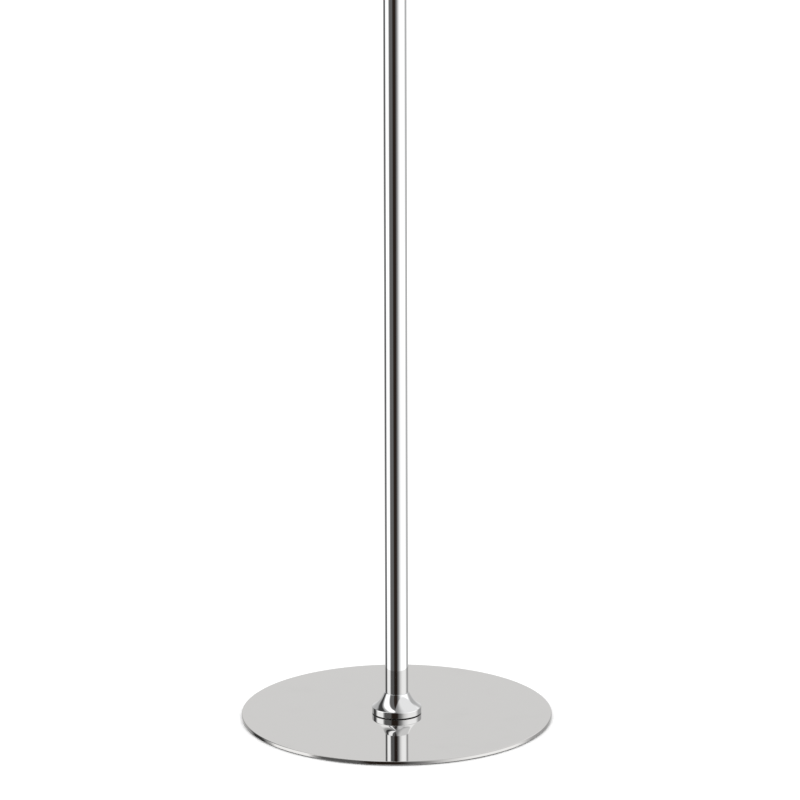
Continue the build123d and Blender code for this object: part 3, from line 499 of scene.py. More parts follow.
def mesh_of(name, shells):
    """One mesh from closed grids."""
    points, faces = [], []
    for grid in shells:
        new_points, new_faces = shell_faces(grid)
        start = sum(len(group) for group in points)
        points.append(new_points)
        faces += [[start + corner for corner in face] for face in new_faces]
    mesh = bpy.data.meshes.new(name)
    mesh.from_pydata(np.concatenate(points).tolist(), [], faces)
    return mesh


def carved(name, grid, joins=(), cuts=()):
    """A mesh of one closed grid joined with some grids and then cut by others, through exact Boolean
    modifiers."""
    made = []
    for shell in (grid, *joins, *cuts):
        made.append(bpy.data.objects.new(name, mesh_of(name, [shell])))
        bpy.context.scene.collection.objects.link(made[-1])
    body, tools = made[0], made[1:]
    for tool, operation in zip(tools, ["UNION"] * len(joins) + ["DIFFERENCE"] * len(cuts)):
        modifier = body.modifiers.new(operation, "BOOLEAN")
        modifier.solver = "EXACT"
        modifier.operation = operation
        modifier.object = tool
    depsgraph = bpy.context.evaluated_depsgraph_get()
    mesh = bpy.data.meshes.new_from_object(body.evaluated_get(depsgraph))
    for thing in made:
        bpy.data.objects.remove(thing)
    return mesh


def stand_in(node, mesh):
    """Hangs a finished mesh on its CAD node's body, in that node's slot and finish, and hides the node."""
    mesh.shade_smooth()
    mesh.set_sharp_from_angle(angle=SHARP)
    mesh.materials.clear()
    mesh.materials.append(finish(SLOT_OF[node]))
    mesh.validate()
    piece = bpy.data.objects.new(f"{node}_surface", mesh)
    bpy.context.scene.collection.objects.link(piece)
    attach(piece, BODY_OF[node])
    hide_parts(node)
    return piece


def stand_in_turned(node, points, columns=FINE, *shapes):
    return stand_in(node, mesh_of(node, [turned(points, columns, *shapes)]))


def stand_in_ring(node, inner, edge, columns=FINE):
    """Stands a plain ring in for a CAD node of the same outer radius, foot and top."""
    return stand_in_turned(node, ring_outline(inner, *extent(node), edge), columns)


# ---- finishes ----------------------------------------------------------------------------------------------
class Signal:
    """A socket that carries a number, so that shading reads as sums. Each sum adds a Math node."""

    def __init__(self, nodes, socket):
        self.nodes = nodes
        self.socket = socket

    def sum(self, operation, left, right):
        return self.nodes.add("ShaderNodeMath", {"operation": operation}, {0: left, 1: right})

    def __add__(self, other):
        return self.sum("ADD", self, other)

    def __sub__(self, other):
        return self.sum("SUBTRACT", self, other)

    def __rsub__(self, other):
        return self.sum("SUBTRACT", other, self)

    def __mul__(self, other):
        return self.sum("MULTIPLY", self, other)

    def __truediv__(self, other):
        return self.sum("DIVIDE", self, other)

    __radd__ = __add__
    __rmul__ = __mul__


class Nodes:
    """A node tree and the ways to add to it."""

    def __init__(self, tree):
        self.tree = tree
        self.tree.nodes.clear()

    def add(self, kind, options=None, sockets=None, output=0):
        """Adds a node: its own options first, then its sockets' values or links. Gives back one of its
        outputs."""
        node = self.tree.nodes.new(kind)
        for key, value in (options or {}).items():
            setattr(node, key, value)
        for key, value in (sockets or {}).items():
            if isinstance(value, Signal):
                self.tree.links.new(value.socket, node.inputs[key])
            else:
                node.inputs[key].default_value = value
        return Signal(self, node.outputs[output]) if node.outputs else node

    def place(self):
        return self.add("ShaderNodeTexCoord", output="Object")

    def stretched(self, scale, turn=(0, 0, 0)):
        """Object coordinates turned and stretched."""
        return self.add("ShaderNodeMapping", {}, {"Vector": self.place(), "Scale": scale, "Rotation": turn})

    def split(self, vector):
        """The three parts of a vector."""
        node = self.add("ShaderNodeSeparateXYZ", {}, {0: vector}).socket.node
        return [Signal(self, part) for part in node.outputs]

    def axial(self):
        """Object coordinates as (distance from the pole, 0, height), so that a pattern on them runs in
        rings."""
        x, y, z = self.split(self.place())
        radius = self.add("ShaderNodeMath", {"operation": "SQRT"}, {0: x * x + y * y})
        return self.add("ShaderNodeCombineXYZ", {}, {0: radius, 2: z})

    def noise(self, vector, scale, detail=3.0):
        return self.add("ShaderNodeTexNoise", {}, {"Vector": vector, "Scale": scale, "Detail": detail})

    def cells(self, vector, scale, feature="F1"):
        return self.add("ShaderNodeTexVoronoi", {"feature": feature}, {"Vector": vector, "Scale": scale})

    def between(self, value, low, high, start=0.0, end=1.0):
        """Eases a value from start to end as it goes from low to high."""
        return self.add("ShaderNodeMapRange", {"interpolation_type": "SMOOTHSTEP"},
                        {0: value, 1: low, 2: high, 3: start, 4: end})

    def mixed(self, factor, first, second):
        """A colour between two others."""
        return self.add("ShaderNodeMix", {"data_type": "RGBA"}, {0: factor, 6: first, 7: second}, output=2)

    def hairline(self, vector, scale, width=0.0025):
        """Thin scratches: where a stretched noise passes its middle value."""
        gap = self.add("ShaderNodeMath", {"operation": "ABSOLUTE"}, {0: self.noise(vector, scale, 2.0) - 0.5})
        return self.between(gap, 0.0, width, 1.0, 0.0)

    def bump(self, height, distance, normal=None):
        sockets = {"Height": height, "Distance": distance, "Strength": 1.0}
        if normal:
            sockets["Normal"] = normal
        return self.add("ShaderNodeBump", {}, sockets)


def shade(base, factor):
    """A colour made lighter or darker, with its alpha."""
    return (*(min(1.0, part * factor) for part in base), 1.0)


def glow(tint, brightness=1.0):
    """A light's colour, which may pass 1, with its alpha."""
    return (*(part * brightness for part in tint), 1.0)


def surface(name):
    """An empty finish and the nodes to fill it with."""
    material = bpy.data.materials.new(name)
    material.use_nodes = True
    return material, Nodes(material.node_tree)


def close(nodes, **sockets):
    """Adds the shader and the output. Words joined by _ are the shader's socket names."""
    shader = nodes.add("ShaderNodeBsdfPrincipled", {}, {
        key.replace("_", " "): value for key, value in sockets.items()})
    nodes.add("ShaderNodeOutputMaterial", {}, {0: shader})


def bright_metal(name, base, lines, line_scale, ripple):
    """Polished metal: fine lines left by the buff, a breath of haze, stray hairlines, and a slow ripple of
    the skin."""
    material, nodes = surface(name)
    grain = nodes.noise(lines(nodes), line_scale, 4.0)
    haze = nodes.between(nodes.noise(nodes.place(), 22.0, 5.0), 0.52, 0.78)
    scratch = nodes.hairline(nodes.stretched((1, 0.15, 0.4), (0.3, 0.2, 0.9)), 60.0)
    scratch = scratch * nodes.between(nodes.noise(nodes.place(), 9.0), 0.55, 0.65)
    mirror = settings().finish.mirror
    tone = nodes.mixed(haze * 0.5 + grain * 0.3, shade(base, 1.0), shade(base, 0.965))
    close(nodes, Base_Color=tone, Metallic=1.0,
          Roughness=grain * 0.35 * mirror + haze * 0.9 * mirror + scratch * 2.0 * mirror + 0.6 * mirror,
          Normal=nodes.bump(nodes.noise(nodes.place(), 30.0, 1.0), ripple,
                            nodes.bump(grain, 0.0000004)))
    return material


def lengthwise(nodes):
    """Lines along the pole."""
    return nodes.stretched((1, 1, 0.01))


def ringwise(nodes):
    """Lines round the pole."""
    return nodes.axial()


def satin_metal(name, base, lines, line_scale, roughness, depth, stain=None):
    """Machined or plated metal that isn't polished: tool lines in its shape and gloss, and a mottled tone."""
    material, nodes = surface(name)
    grain = nodes.noise(lines(nodes), line_scale, 5.0)
    mottle = nodes.noise(nodes.place(), 160.0, 4.0)
    tone = nodes.mixed(mottle, shade(base, 0.86), shade(base, 1.08))
    if stain:
        patch = nodes.between(nodes.noise(nodes.place(), 70.0, 2.0), 0.45, 0.7, 0.0, 0.6)
        tone = nodes.mixed(patch, tone, (*stain, 1.0))
    close(nodes, Base_Color=tone, Metallic=1.0,
          Roughness=grain * 0.16 + mottle * 0.1 + (roughness - 0.13),
          Normal=nodes.bump(grain, depth))
    return material


def polished_cover(name, colours):
    return bright_metal(name, colours.cover, ringwise, 900.0, 0.0000006)


def tube_chrome(name, colours):
    return bright_metal(name, colours.chrome, lengthwise, 1400.0, 0.0000004)


def turned_chrome(name, colours):
    return bright_metal(name, colours.chrome, ringwise, 1600.0, 0.0000004)


def hook_steel(name, colours):
    return satin_metal(name, colours.steel, lengthwise, 1500.0, 0.2, 0.000004)


def gate_steel(name, colours):
    return satin_metal(name, colours.steel, ringwise, 2200.0, 0.22, 0.000004)


def zinc_steel(name, colours):
    return satin_metal(name, colours.zinc, ringwise, 1200.0, 0.32, 0.000004, stain=(0.62, 0.58, 0.44))


def insert_aluminium(name, colours):
    return satin_metal(name, colours.aluminium, ringwise, 2600.0, 0.30, 0.00001)


def spring_steel(name, colours):
    return satin_metal(name, colours.spring, lengthwise, 3000.0, 0.36, 0.000003)


def gasket_rubber(name, colours):
    """Black rubber with a fine dusty grain."""
    # the black also serves as painted contact shade along the gasket's edge at the collar's foot
    material, nodes = surface(name)
    grain = nodes.noise(nodes.place(), 1800.0, 4.0)
    dust = nodes.between(nodes.noise(nodes.place(), 120.0, 4.0), 0.55, 0.8)
    close(nodes, Base_Color=nodes.mixed(dust, shade(colours.rubber, 1.0), shade(colours.rubber, 2.2)),
          Roughness=grain * 0.2 + dust * 0.15 + 0.5, Normal=nodes.bump(grain, 0.00003))
    return material


def foam(name, colours):
    """Closed-cell foam: each cell is a small pit, with painted shade that darkens its colour towards the pit's
    bottom.
    """
    material, nodes = surface(name)
    cell = nodes.cells(nodes.place(), 900.0)
    # painted shade: the colour is darker towards each pit's bottom, varied by a noise
    tone = nodes.mixed(cell * nodes.noise(nodes.place(), 300.0), shade(colours.foam, 0.6),
                       shade(colours.foam, 1.7))
    close(nodes, Base_Color=tone, Roughness=0.95 - cell * 0.1, Normal=nodes.bump(cell, 0.0003))
    return material


def ballast_steel(name, colours):
    """Powder-coated plate: an even orange peel with a few thin spots."""
    material, nodes = surface(name)
    peel = nodes.noise(nodes.place(), 500.0, 2.0)
    thin = nodes.between(nodes.noise(nodes.place(), 35.0, 3.0), 0.6, 0.8)
    close(nodes, Base_Color=nodes.mixed(thin, shade(colours.plate, 1.0), shade(colours.plate, 2.0)),
          Roughness=peel * 0.2 + 0.4, Normal=nodes.bump(peel, 0.00006))
    return material


def lock_plastic(name, colours):
    """Moulded plastic with a spark-eroded texture, a little shinier where hands rub it."""
    material, nodes = surface(name)
    texture = nodes.noise(nodes.place(), 2600.0, 3.0)
    rubbed = nodes.between(nodes.noise(nodes.place(), 90.0, 4.0), 0.5, 0.75)
    close(nodes, Base_Color=nodes.mixed(rubbed, shade(colours.plastic, 1.0), shade(colours.plastic, 1.5)),
          Roughness=0.52 - rubbed * 0.14 + texture * 0.08, Normal=nodes.bump(texture, 0.00002))
    return material


def nylon(name, colours):
    """Natural nylon: milky, with slow clouds and faint tool lines."""
    material, nodes = surface(name)
    cloud = nodes.noise(nodes.place(), 130.0, 4.0)
    line = nodes.noise(nodes.axial(), 2000.0, 3.0)
    close(nodes, Base_Color=nodes.mixed(cloud, shade(colours.nylon, 0.9), shade(colours.nylon, 1.06)),
          Roughness=cloud * 0.12 + line * 0.08 + 0.36, Normal=nodes.bump(line, 0.000006),
          Subsurface_Weight=0.12, Subsurface_Scale=0.002)
    return material


FINISHES = {
    "polished_cover": polished_cover, "ballast_steel": ballast_steel, "foam": foam,
    "zinc_steel": zinc_steel, "gasket_rubber": gasket_rubber, "collar_chrome": turned_chrome,
    "tube_chrome": tube_chrome, "insert_aluminium": insert_aluminium, "lock_plastic": lock_plastic,
    "nylon": nylon, "ring_chrome": turned_chrome, "hook_steel": hook_steel, "gate_steel": gate_steel,
    "spring_steel": spring_steel, "finial_chrome": turned_chrome,
}


def finish(slot):
    """The finish of a slot, made when it is first asked for. The frame's own plain material keeps the
    slot's name."""
    name = f"{slot}_finish"
    return bpy.data.materials.get(name) or FINISHES[slot](name, settings().finish)


# ---- base --------------------------------------------------------------------------------------------------
class FLAG_STAND_OT_base_cover(bpy.types.Operator):
    """Thin polished disc with a turned-down, rounded rim"""
    bl_idname = "flag_stand.base_cover"
    bl_label = "Base cover"

    def execute(self, context):
        s = settings().base
        rim, foot, top = extent("base_cover")
        inner_round = max(s.rim_round - s.sheet, s.least_round)
        stand_in_turned("base_cover", outline(
            (s.hole, top - s.sheet), (s.hole, top), (rim, top, s.rim_round), (rim, foot, s.cut_edge),
            (rim - s.sheet, foot, s.cut_edge), (rim - s.sheet, top - s.sheet, inner_round)), FINEST)
        return {"FINISHED"}


class FLAG_STAND_OT_floor_pad(bpy.types.Operator):
    """Foam ring under the disc"""
    bl_idname = "flag_stand.floor_pad"
    bl_label = "Floor pad"

    def execute(self, context):
        s = settings().base
        stand_in_ring("floor_pad", s.pad_hole, s.pad_round)
        return {"FINISHED"}


def lock_washer(s):
    """Split ring: each point of the section (r, h) goes round from the split's one face to the other, angle =
    arcsin(half the split / r) to a full turn less the same, so that the split's faces are parallel."""
    rim, foot, top = extent("stud_lock_washer")
    section = ring_outline(s.hole, rim, foot, top, s.washer_edge / 2)
    radius, height = section[:, 0], section[:, 1]
    start = np.arcsin(s.split / 2 / radius)
    angle = start + np.linspace(0, 1, COARSE)[:, None] * (TURN - 2 * start)
    return capped(np.stack([radius * np.cos(angle), radius * np.sin(angle), height + 0 * angle], axis=-1))


class FLAG_STAND_OT_centre_fixing(bpy.types.Operator):
    """Threaded stud with its washers and thin hexagon nut"""
    bl_idname = "flag_stand.centre_fixing"
    bl_label = "Centre fixing"

    def execute(self, context):
        s = settings().base
        head, foot, top = extent("centre_stud")
        neck_top = extent("ballast_plate")[2] - s.neck_gap
        thread_foot, thread_top = neck_top + s.stud_pitch / 2, top - s.stud_point
        corner = s.stud_radius * math.sqrt(2)
        depth = s.stud_pitch * METRIC
        stand_in_turned("centre_stud", outline(
            (0, foot), (head - s.head_edge, foot), (head, foot + s.head_edge),
            (head, s.head_top, s.washer_edge),
            (corner, s.head_top), (corner, neck_top), (s.stud_radius, neck_top),
            *threaded_run(s.stud_radius, thread_foot, thread_top, s.stud_pitch),
            (s.stud_radius - s.stud_point, top), (0, top)), COARSE,
            flats(4, s.stud_radius, 0), thread(s.stud_radius, s.stud_pitch, depth, thread_foot, thread_top))

        stand_in_ring("stud_washer", s.hole, s.washer_edge, COARSE)
        stand_in("stud_lock_washer", mesh_of("stud_lock_washer", [lock_washer(s)]))

        corner, foot, top = extent("stud_nut")
        bore = s.stud_radius + settings().pole.thread_gap
        cone = corner - s.nut_chamfer
        stand_in_turned("stud_nut", outline(
            *threaded_run(bore, top, foot, s.stud_pitch),
            *run((cone, foot), (corner, foot + s.nut_chamfer), 8),
            *run((corner, top - s.nut_chamfer), (cone, top), 8)), COARSE * 2,
            flats(6, corner * math.cos(TURN / 12), TURN / 12), thread(bore, s.stud_pitch, -depth, foot, top))
        return {"FINISHED"}


# ---- collar ------------------------------------------------------------------------------------------------
def collar_outline(s):
    """Trumpet section. The flare is an arc of radius R through the rim's top and the lip, centred outside
    the metal. The round between rim and flare touches both: its centre is one round inside the rim and R +
    round from the flare's centre."""
    rim, foot, top = extent("pole_collar")
    seat = extent("lower_tube")[1]
    lip = s.bore + s.lip
    shoulder, tip = np.array([rim, foot + s.rim_height]), np.array([lip, top])
    chord = tip - shoulder
    half = np.linalg.norm(chord) / 2
    centre = (shoulder + tip) / 2 + math.sqrt(s.flare**2 - half**2) * unit(np.array([chord[1], -chord[0]]))
    turn_in = centre[0] - (rim - s.rim_round)
    round_centre = np.array([rim - s.rim_round,
                             centre[1] - math.sqrt((s.flare + s.rim_round)**2 - turn_in**2)])
    touch = centre + unit(round_centre - centre) * s.flare
    bend = arc(round_centre, (rim, round_centre[1]), touch)
    curve = arc(centre, touch, tip)
    hollow = rim - s.wall
    lip_round = s.lip / 2.05    # a little under half, so that a flat stays between the two
    return outline(
        *map(tuple, bend), *map(tuple, curve[1:-1]), (lip, top, lip_round), (s.bore, top, lip_round),
        (s.bore, seat), (settings().base.hole, seat), (settings().base.hole, seat - s.web),
        (hollow, seat - s.web, s.rim_round), (hollow, foot), (rim, foot, s.foot_round),
        (rim, round_centre[1] - s.rim_round * SUPPORT))


class FLAG_STAND_OT_collar(bpy.types.Operator):
    """Bell collar and the black gasket under it, a real part whose dark edge also gives a painted contact shade at
    the collar's foot
    """
    bl_idname = "flag_stand.collar"
    bl_label = "Collar"

    def execute(self, context):
        s = settings().collar
        stand_in_turned("pole_collar", collar_outline(s))
        # the gasket is black partly as a real rubber part and partly as painted contact shade: its dark edge draws
        # the line where the collar meets the cover
        stand_in_ring("collar_gasket", extent("pole_collar")[0] - s.wall, s.gasket_round)
        return {"FINISHED"}


# ---- pole --------------------------------------------------------------------------------------------------
class FLAG_STAND_OT_tubes(bpy.types.Operator):
    """Lower and upper tube"""
    bl_idname = "flag_stand.tubes"
    bl_label = "Tubes"

    def execute(self, context):
        s = settings().pole
        for node in ("lower_tube", "upper_tube"):
            stand_in_ring(node, extent(node)[0] - s.wall, s.cut_edge, FINEST)
        return {"FINISHED"}


class FLAG_STAND_OT_plugs(bpy.types.Operator):
    """Threaded plugs in the foot of the lower tube and the top of the upper tube"""
    bl_idname = "flag_stand.plugs"
    bl_label = "Plugs"

    def execute(self, context):
        every = settings()
        lead = every.pole.plug_lead
        face, foot, top = extent("lower_tube_insert")
        bore, pitch = every.base.stud_radius + every.pole.thread_gap, every.base.stud_pitch
        stand_in_turned("lower_tube_insert", outline(
            (face, foot), (face, top - lead), (face - lead, top), *threaded_run(bore, top, foot, pitch)),
            COARSE, thread(bore, pitch, -pitch * METRIC, foot, top))

        face, foot, top = extent("upper_tube_insert")
        bore, pitch = extent("finial_stud")[0] + every.pole.thread_gap, every.finial.stud_pitch
        stand_in_turned("upper_tube_insert", outline(
            (face - lead, foot), (face, foot + lead), (face, top), *threaded_run(bore, top, foot, pitch)),
            COARSE, thread(bore, pitch, -pitch * METRIC, foot, top))
        return {"FINISHED"}


# ---- twist lock --------------------------------------------------------------------------------------------
def flute_rule(s, outer, foot, top):
    """Shape rule: round each flute's middle the nut's face follows a hollow circle, r = c cos b - sqrt(q^2
    - (c sin b)^2), with b the angle from the flute's middle and c its centre's radius. q is the flute's
    radius, and shrinks as a quarter circle at both ends, which makes them ball-shaped."""
    step = TURN / s.flutes
    centre = outer + s.flute_offset

    def rule(radius, height, angle):
        beyond = np.maximum(np.maximum(foot + s.flute_radius - height, height - top + s.flute_radius), 0)
        q2 = np.maximum(s.flute_radius**2 - beyond**2, 0)
        b = (angle + step / 2) % step - step / 2
        under = q2 - (centre * np.sin(b))**2
        hollow = centre * np.cos(b) - np.sqrt(np.maximum(under, 0))
        cut = (under > 0) & (np.abs(radius - outer) < SMALL)
        return np.where(cut, np.minimum(hollow, radius), radius)
    return rule


class FLAG_STAND_OT_twist_lock(bpy.types.Operator):
    """Threaded sleeve and fluted nut"""
    bl_idname = "flag_stand.twist_lock"
    bl_label = "Twist lock"

    def execute(self, context):
        s = settings().lock
        tube, _, tube_top = extent("lower_tube")
        flange, foot, top = extent("lock_sleeve")
        flange_top, shoulder = foot + s.flange, tube_top + s.shoulder
        seat = tube + CLOSE
        stand_in_turned("lock_sleeve", outline(
            (seat, foot), (flange, foot, s.flange / 4), (flange, flange_top, s.flange / 4),
            *threaded_run(s.thread_radius, flange_top, top, s.thread_pitch), (s.mouth, top),
            (s.mouth - s.cone, shoulder), (s.bore, shoulder), (s.bore, tube_top), (seat, tube_top)), FINE,
            thread(s.thread_radius, s.thread_pitch, s.thread_pitch * TRAPEZIUM, flange_top, top))

        outer, nut_foot, nut_top = extent("lock_nut")
        bore = s.thread_radius + LOOSE
        ceiling = nut_top - s.top_wall
        mouth = s.mouth + s.mouth_gap
        low, high = nut_foot + s.plain_band, nut_top - s.plain_band
        ball = s.flute_radius * (1 - np.cos(np.linspace(0, math.pi / 2, 8)))
        side = [(outer, height) for height in (*(low + ball), *(high - ball[::-1]))]
        stand_in_turned("lock_nut", outline(
            (bore, nut_foot, s.edge / 3), (outer, nut_foot, s.edge), *side, (outer, nut_top, s.edge),
            (s.bore, nut_top, s.edge / 4), (s.bore, ceiling), (mouth - s.cone, ceiling),
            (mouth, ceiling - s.cone_height), (mouth, top), (bore, top)), s.flutes * 16,
            flute_rule(s, outer, low, high))
        return {"FINISHED"}


class FLAG_STAND_OT_slide_washers(bpy.types.Operator):
    """Nylon washer under each flag ring"""
    bl_idname = "flag_stand.slide_washers"
    bl_label = "Slide washers"

    def execute(self, context):
        for tier in TIERS:
            stand_in_ring(f"{tier}_slide_washer", settings().lock.bore, settings().ring.washer_edge)
        return {"FINISHED"}


# ---- rings and stop collar ---------------------------------------------------------------------------------
def band(s, bore, outer, foot, top):
    """A chromed band round the pole, with small rounds inside and larger ones outside."""
    return turned(outline((bore, foot, s.washer_edge), (outer, foot, s.edge), (outer, top, s.edge),
                          (bore, top, s.washer_edge)))


class FLAG_STAND_OT_stop_collar(bpy.types.Operator):
    """Collar under the upper ring with its two socket set screws"""
    bl_idname = "flag_stand.stop_collar"
    bl_label = "Stop collar"

    def execute(self, context):
        s = settings().ring
        outer, foot, top = extent("stop_collar")
        bore = extent("upper_tube")[0] + CLOSE
        low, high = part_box("stop_collar_screws")
        middle = (low.z + high.z) / 2
        ways = unit(np.array([-1.0, 1.0])), unit(np.array([-1.0, -1.0]))
        holes, screws = [], []
        span = outer - s.screw_sink - bore
        half = s.socket / 2
        corner = half / math.cos(TURN / 12)
        screw = turned(outline(
            (0, 0), (s.screw_radius - s.screw_edge, 0), (s.screw_radius, s.screw_edge),
            *threaded_run(s.screw_radius, s.screw_edge, span - s.screw_edge / 2, s.screw_pitch),
            (s.screw_radius - s.screw_edge / 2, span), (corner, span), (corner, span - s.socket),
            (0, span - s.socket * 1.2)), COARSE,
            flats(6, half, TURN / 12),
            thread(s.screw_radius, s.screw_pitch, s.screw_depth, s.screw_edge, span))
        drill = rod(s.screw_radius + LOOSE, outer, s.washer_edge, COARSE)
        for x, y in ways:
            axes = ((0, 0, 1), (-y, x, 0), (x, y, 0))
            holes.append(placed(drill, (x * s.screw_hole, y * s.screw_hole, middle), *axes))
            screws.append(placed(screw, (x * bore, y * bore, middle), *axes))
        stand_in("stop_collar", carved("stop_collar", band(s, bore, outer, foot, top), cuts=holes))
        stand_in("stop_collar_screws", mesh_of("stop_collar_screws", screws))
        return {"FINISHED"}


class FLAG_STAND_OT_flag_rings(bpy.types.Operator):
    """Turning rings with a flat eye, and their nylon liners"""
    bl_idname = "flag_stand.flag_rings"
    bl_label = "Flag rings"

    def execute(self, context):
        s = settings().ring
        for tier in TIERS:
            liner, foot, top = extent(f"{tier}_ring_bush")
            bore = liner + CLOSE
            outer = bore + s.wall
            eye = JOINT[f"{tier}_hook_swing"]["pos_m"]
            tip = extent(f"{tier}_ring")[0] - eye[0]
            flat = lug(s.eye_hole, tip, eye[0] - outer + s.wall / 2, s.eye_thickness, s.eye_edge, s.eye_edge)
            flat = placed(flat, eye, (1, 0, 0), (0, 0, 1), (0, -1, 0))
            stand_in(f"{tier}_ring", carved(f"{tier}_ring", band(s, bore, outer, foot, top), joins=[flat]))
            stand_in_ring(f"{tier}_ring_bush", settings().lock.bore, s.washer_edge)
        return {"FINISHED"}


# ---- snap hooks --------------------------------------------------------------------------------------------
class HookPlan:
    """The places of a hook in its own plane, as (y, z) from the eye's centre. Both bows touch the straight
    sides, so a side leans by arcsin((lower bow - upper bow) / spacing)."""

    def __init__(self, s):
        lean = math.asin((s.bottom_bow - s.top_bow) / s.spacing)
        self.across = np.array([math.cos(lean), math.sin(lean)])
        self.along = np.array([math.sin(lean), -math.cos(lean)])
        self.top = np.array([0, -s.top_bow])
        self.bottom = self.top - (0, s.spacing)
        side_top = self.top + self.across * s.top_bow
        side_bottom = self.bottom + self.across * s.bottom_bow
        self.hinge = side_top + self.along * s.hinge_drop
        self.nose = side_bottom - self.along * s.nose_rise
        mirror = np.array([-1, 1])
        crown, sole = self.top + (0, s.top_bow), self.bottom - (0, s.bottom_bow)
        self.path = np.concatenate([
            self.hinge[None],
            arc(self.top, side_top, crown), arc(self.top, crown, side_top * mirror)[1:],
            arc(self.bottom, side_bottom * mirror, sole), arc(self.bottom, sole, side_bottom)[1:],
            self.nose[None]])

    def beside(self, grid, place):
        """A grid drawn at the origin, moved to a place of the gate's side: its own Z runs down the gate,
        its own X along the rivet."""
        return placed(grid, (0, *place), (1, 0, 0), (0, *self.across), (0, *self.along))

    def crosswise(self, grid, place):
        """The same with the grid's own Z along the rivet and its own X down the gate."""
        return placed(grid, (0, *place), (0, *self.along), (0, *self.across), (1, 0, 0))


def hook_places(tier):
    """The eye's centre, and the rivet's place in the hook's plane as (y, z) from the eye."""
    eye = np.array(JOINT[f"{tier}_hook_swing"]["pos_m"])
    return eye, np.array(JOINT[f"{tier}_gate_open"]["pos_m"])[1:] - eye[1:]


def raised(grid, shift):
    """Moves a grid along its own Z."""
    return grid + np.array([0, 0, shift])


class FLAG_STAND_OT_hooks(bpy.types.Operator):
    """Bent wire bodies of the snap hooks, with their rivets"""
    bl_idname = "flag_stand.hooks"
    bl_label = "Snap hooks"

    def execute(self, context):
        s = settings().hook
        plan = HookPlan(s)
        gate_radius = s.wire / 2 - s.gate_step
        for tier in TIERS:
            eye, pin = hook_places(tier)
            reach = np.linalg.norm(pin - plan.hinge) + s.tongue_root
            wire = drawn_wire(plan.path, s.wire / 2, s.end_round)
            tongue = plan.crosswise(
                lug(s.pin / 2 + CLOSE, s.pin, reach, s.tongue, s.tongue_edge, s.tongue_edge), pin)
            stop = bar(s.wire / 2, s.lip, s.lip_length, s.lip / 3)
            stop = plan.beside(stop, plan.nose + plan.across * (gate_radius + s.lip_gap + s.lip / 2))
            mesh = carved(f"{tier}_hook_body", wire + eye, joins=[tongue + eye, stop + eye])
            stand_in(f"{tier}_hook_body", mesh)
            half = gate_radius - s.pin_sink
            rivet = plan.crosswise(raised(rod(s.pin / 2, 2 * half, s.tongue_edge, WIRE), -half), pin)
            stand_in(f"{tier}_hook_pin", mesh_of(f"{tier}_hook_pin", [rivet + eye]))
        return {"FINISHED"}


class FLAG_STAND_OT_gates(bpy.types.Operator):
    """Round gates with a fork at the hinge"""
    bl_idname = "flag_stand.gates"
    bl_label = "Gates"

    def execute(self, context):
        s = settings().hook
        plan = HookPlan(s)
        radius = s.wire / 2 - s.gate_step
        for tier in TIERS:
            eye, pin = hook_places(tier)
            span = np.linalg.norm(plan.nose - pin) - s.gate_gap
            gate = plan.beside(rod(radius, span, s.end_round, COARSE, head=True), pin) + eye
            slot_width = s.tongue + 2 * s.fork_gap
            depth = 2 * radius + s.fork_depth
            slot = bar(slot_width, 3 * radius, depth, s.tongue_edge)
            slot = plan.beside(raised(slot, s.fork_depth - depth / 2), pin) + eye
            bore = plan.beside(rod(s.bore / 2, s.bore_depth, s.tongue_edge, WIRE), pin) + eye
            drill = rod(s.pin / 2 + LOOSE, 3 * radius, s.tongue_edge, WIRE)
            hole = plan.crosswise(raised(drill, -1.5 * radius), pin) + eye
            stand_in(f"{tier}_hook_gate", carved(f"{tier}_hook_gate", gate, cuts=[slot, bore, hole]))
        return {"FINISHED"}


# ---- finial ------------------------------------------------------------------------------------------------
def neck_curve(start, end, first_way, last_way, steps=28):
    """Cubic from start to end that leaves and arrives along two ways, each as strong as the chord is long:
    the blend of two points and two tangents with the Hermite weights of t."""
    t = np.linspace(0, 1, steps + 1)[:, None]
    chord = np.linalg.norm(end - start)
    weights = (2 * t**3 - 3 * t**2 + 1, 3 * t**2 - 2 * t**3, t**3 - 2 * t**2 + t, t**3 - t**2)
    parts = (start, end, unit(first_way) * chord, unit(last_way) * chord)
    return sum(weight * part for weight, part in zip(weights, parts))


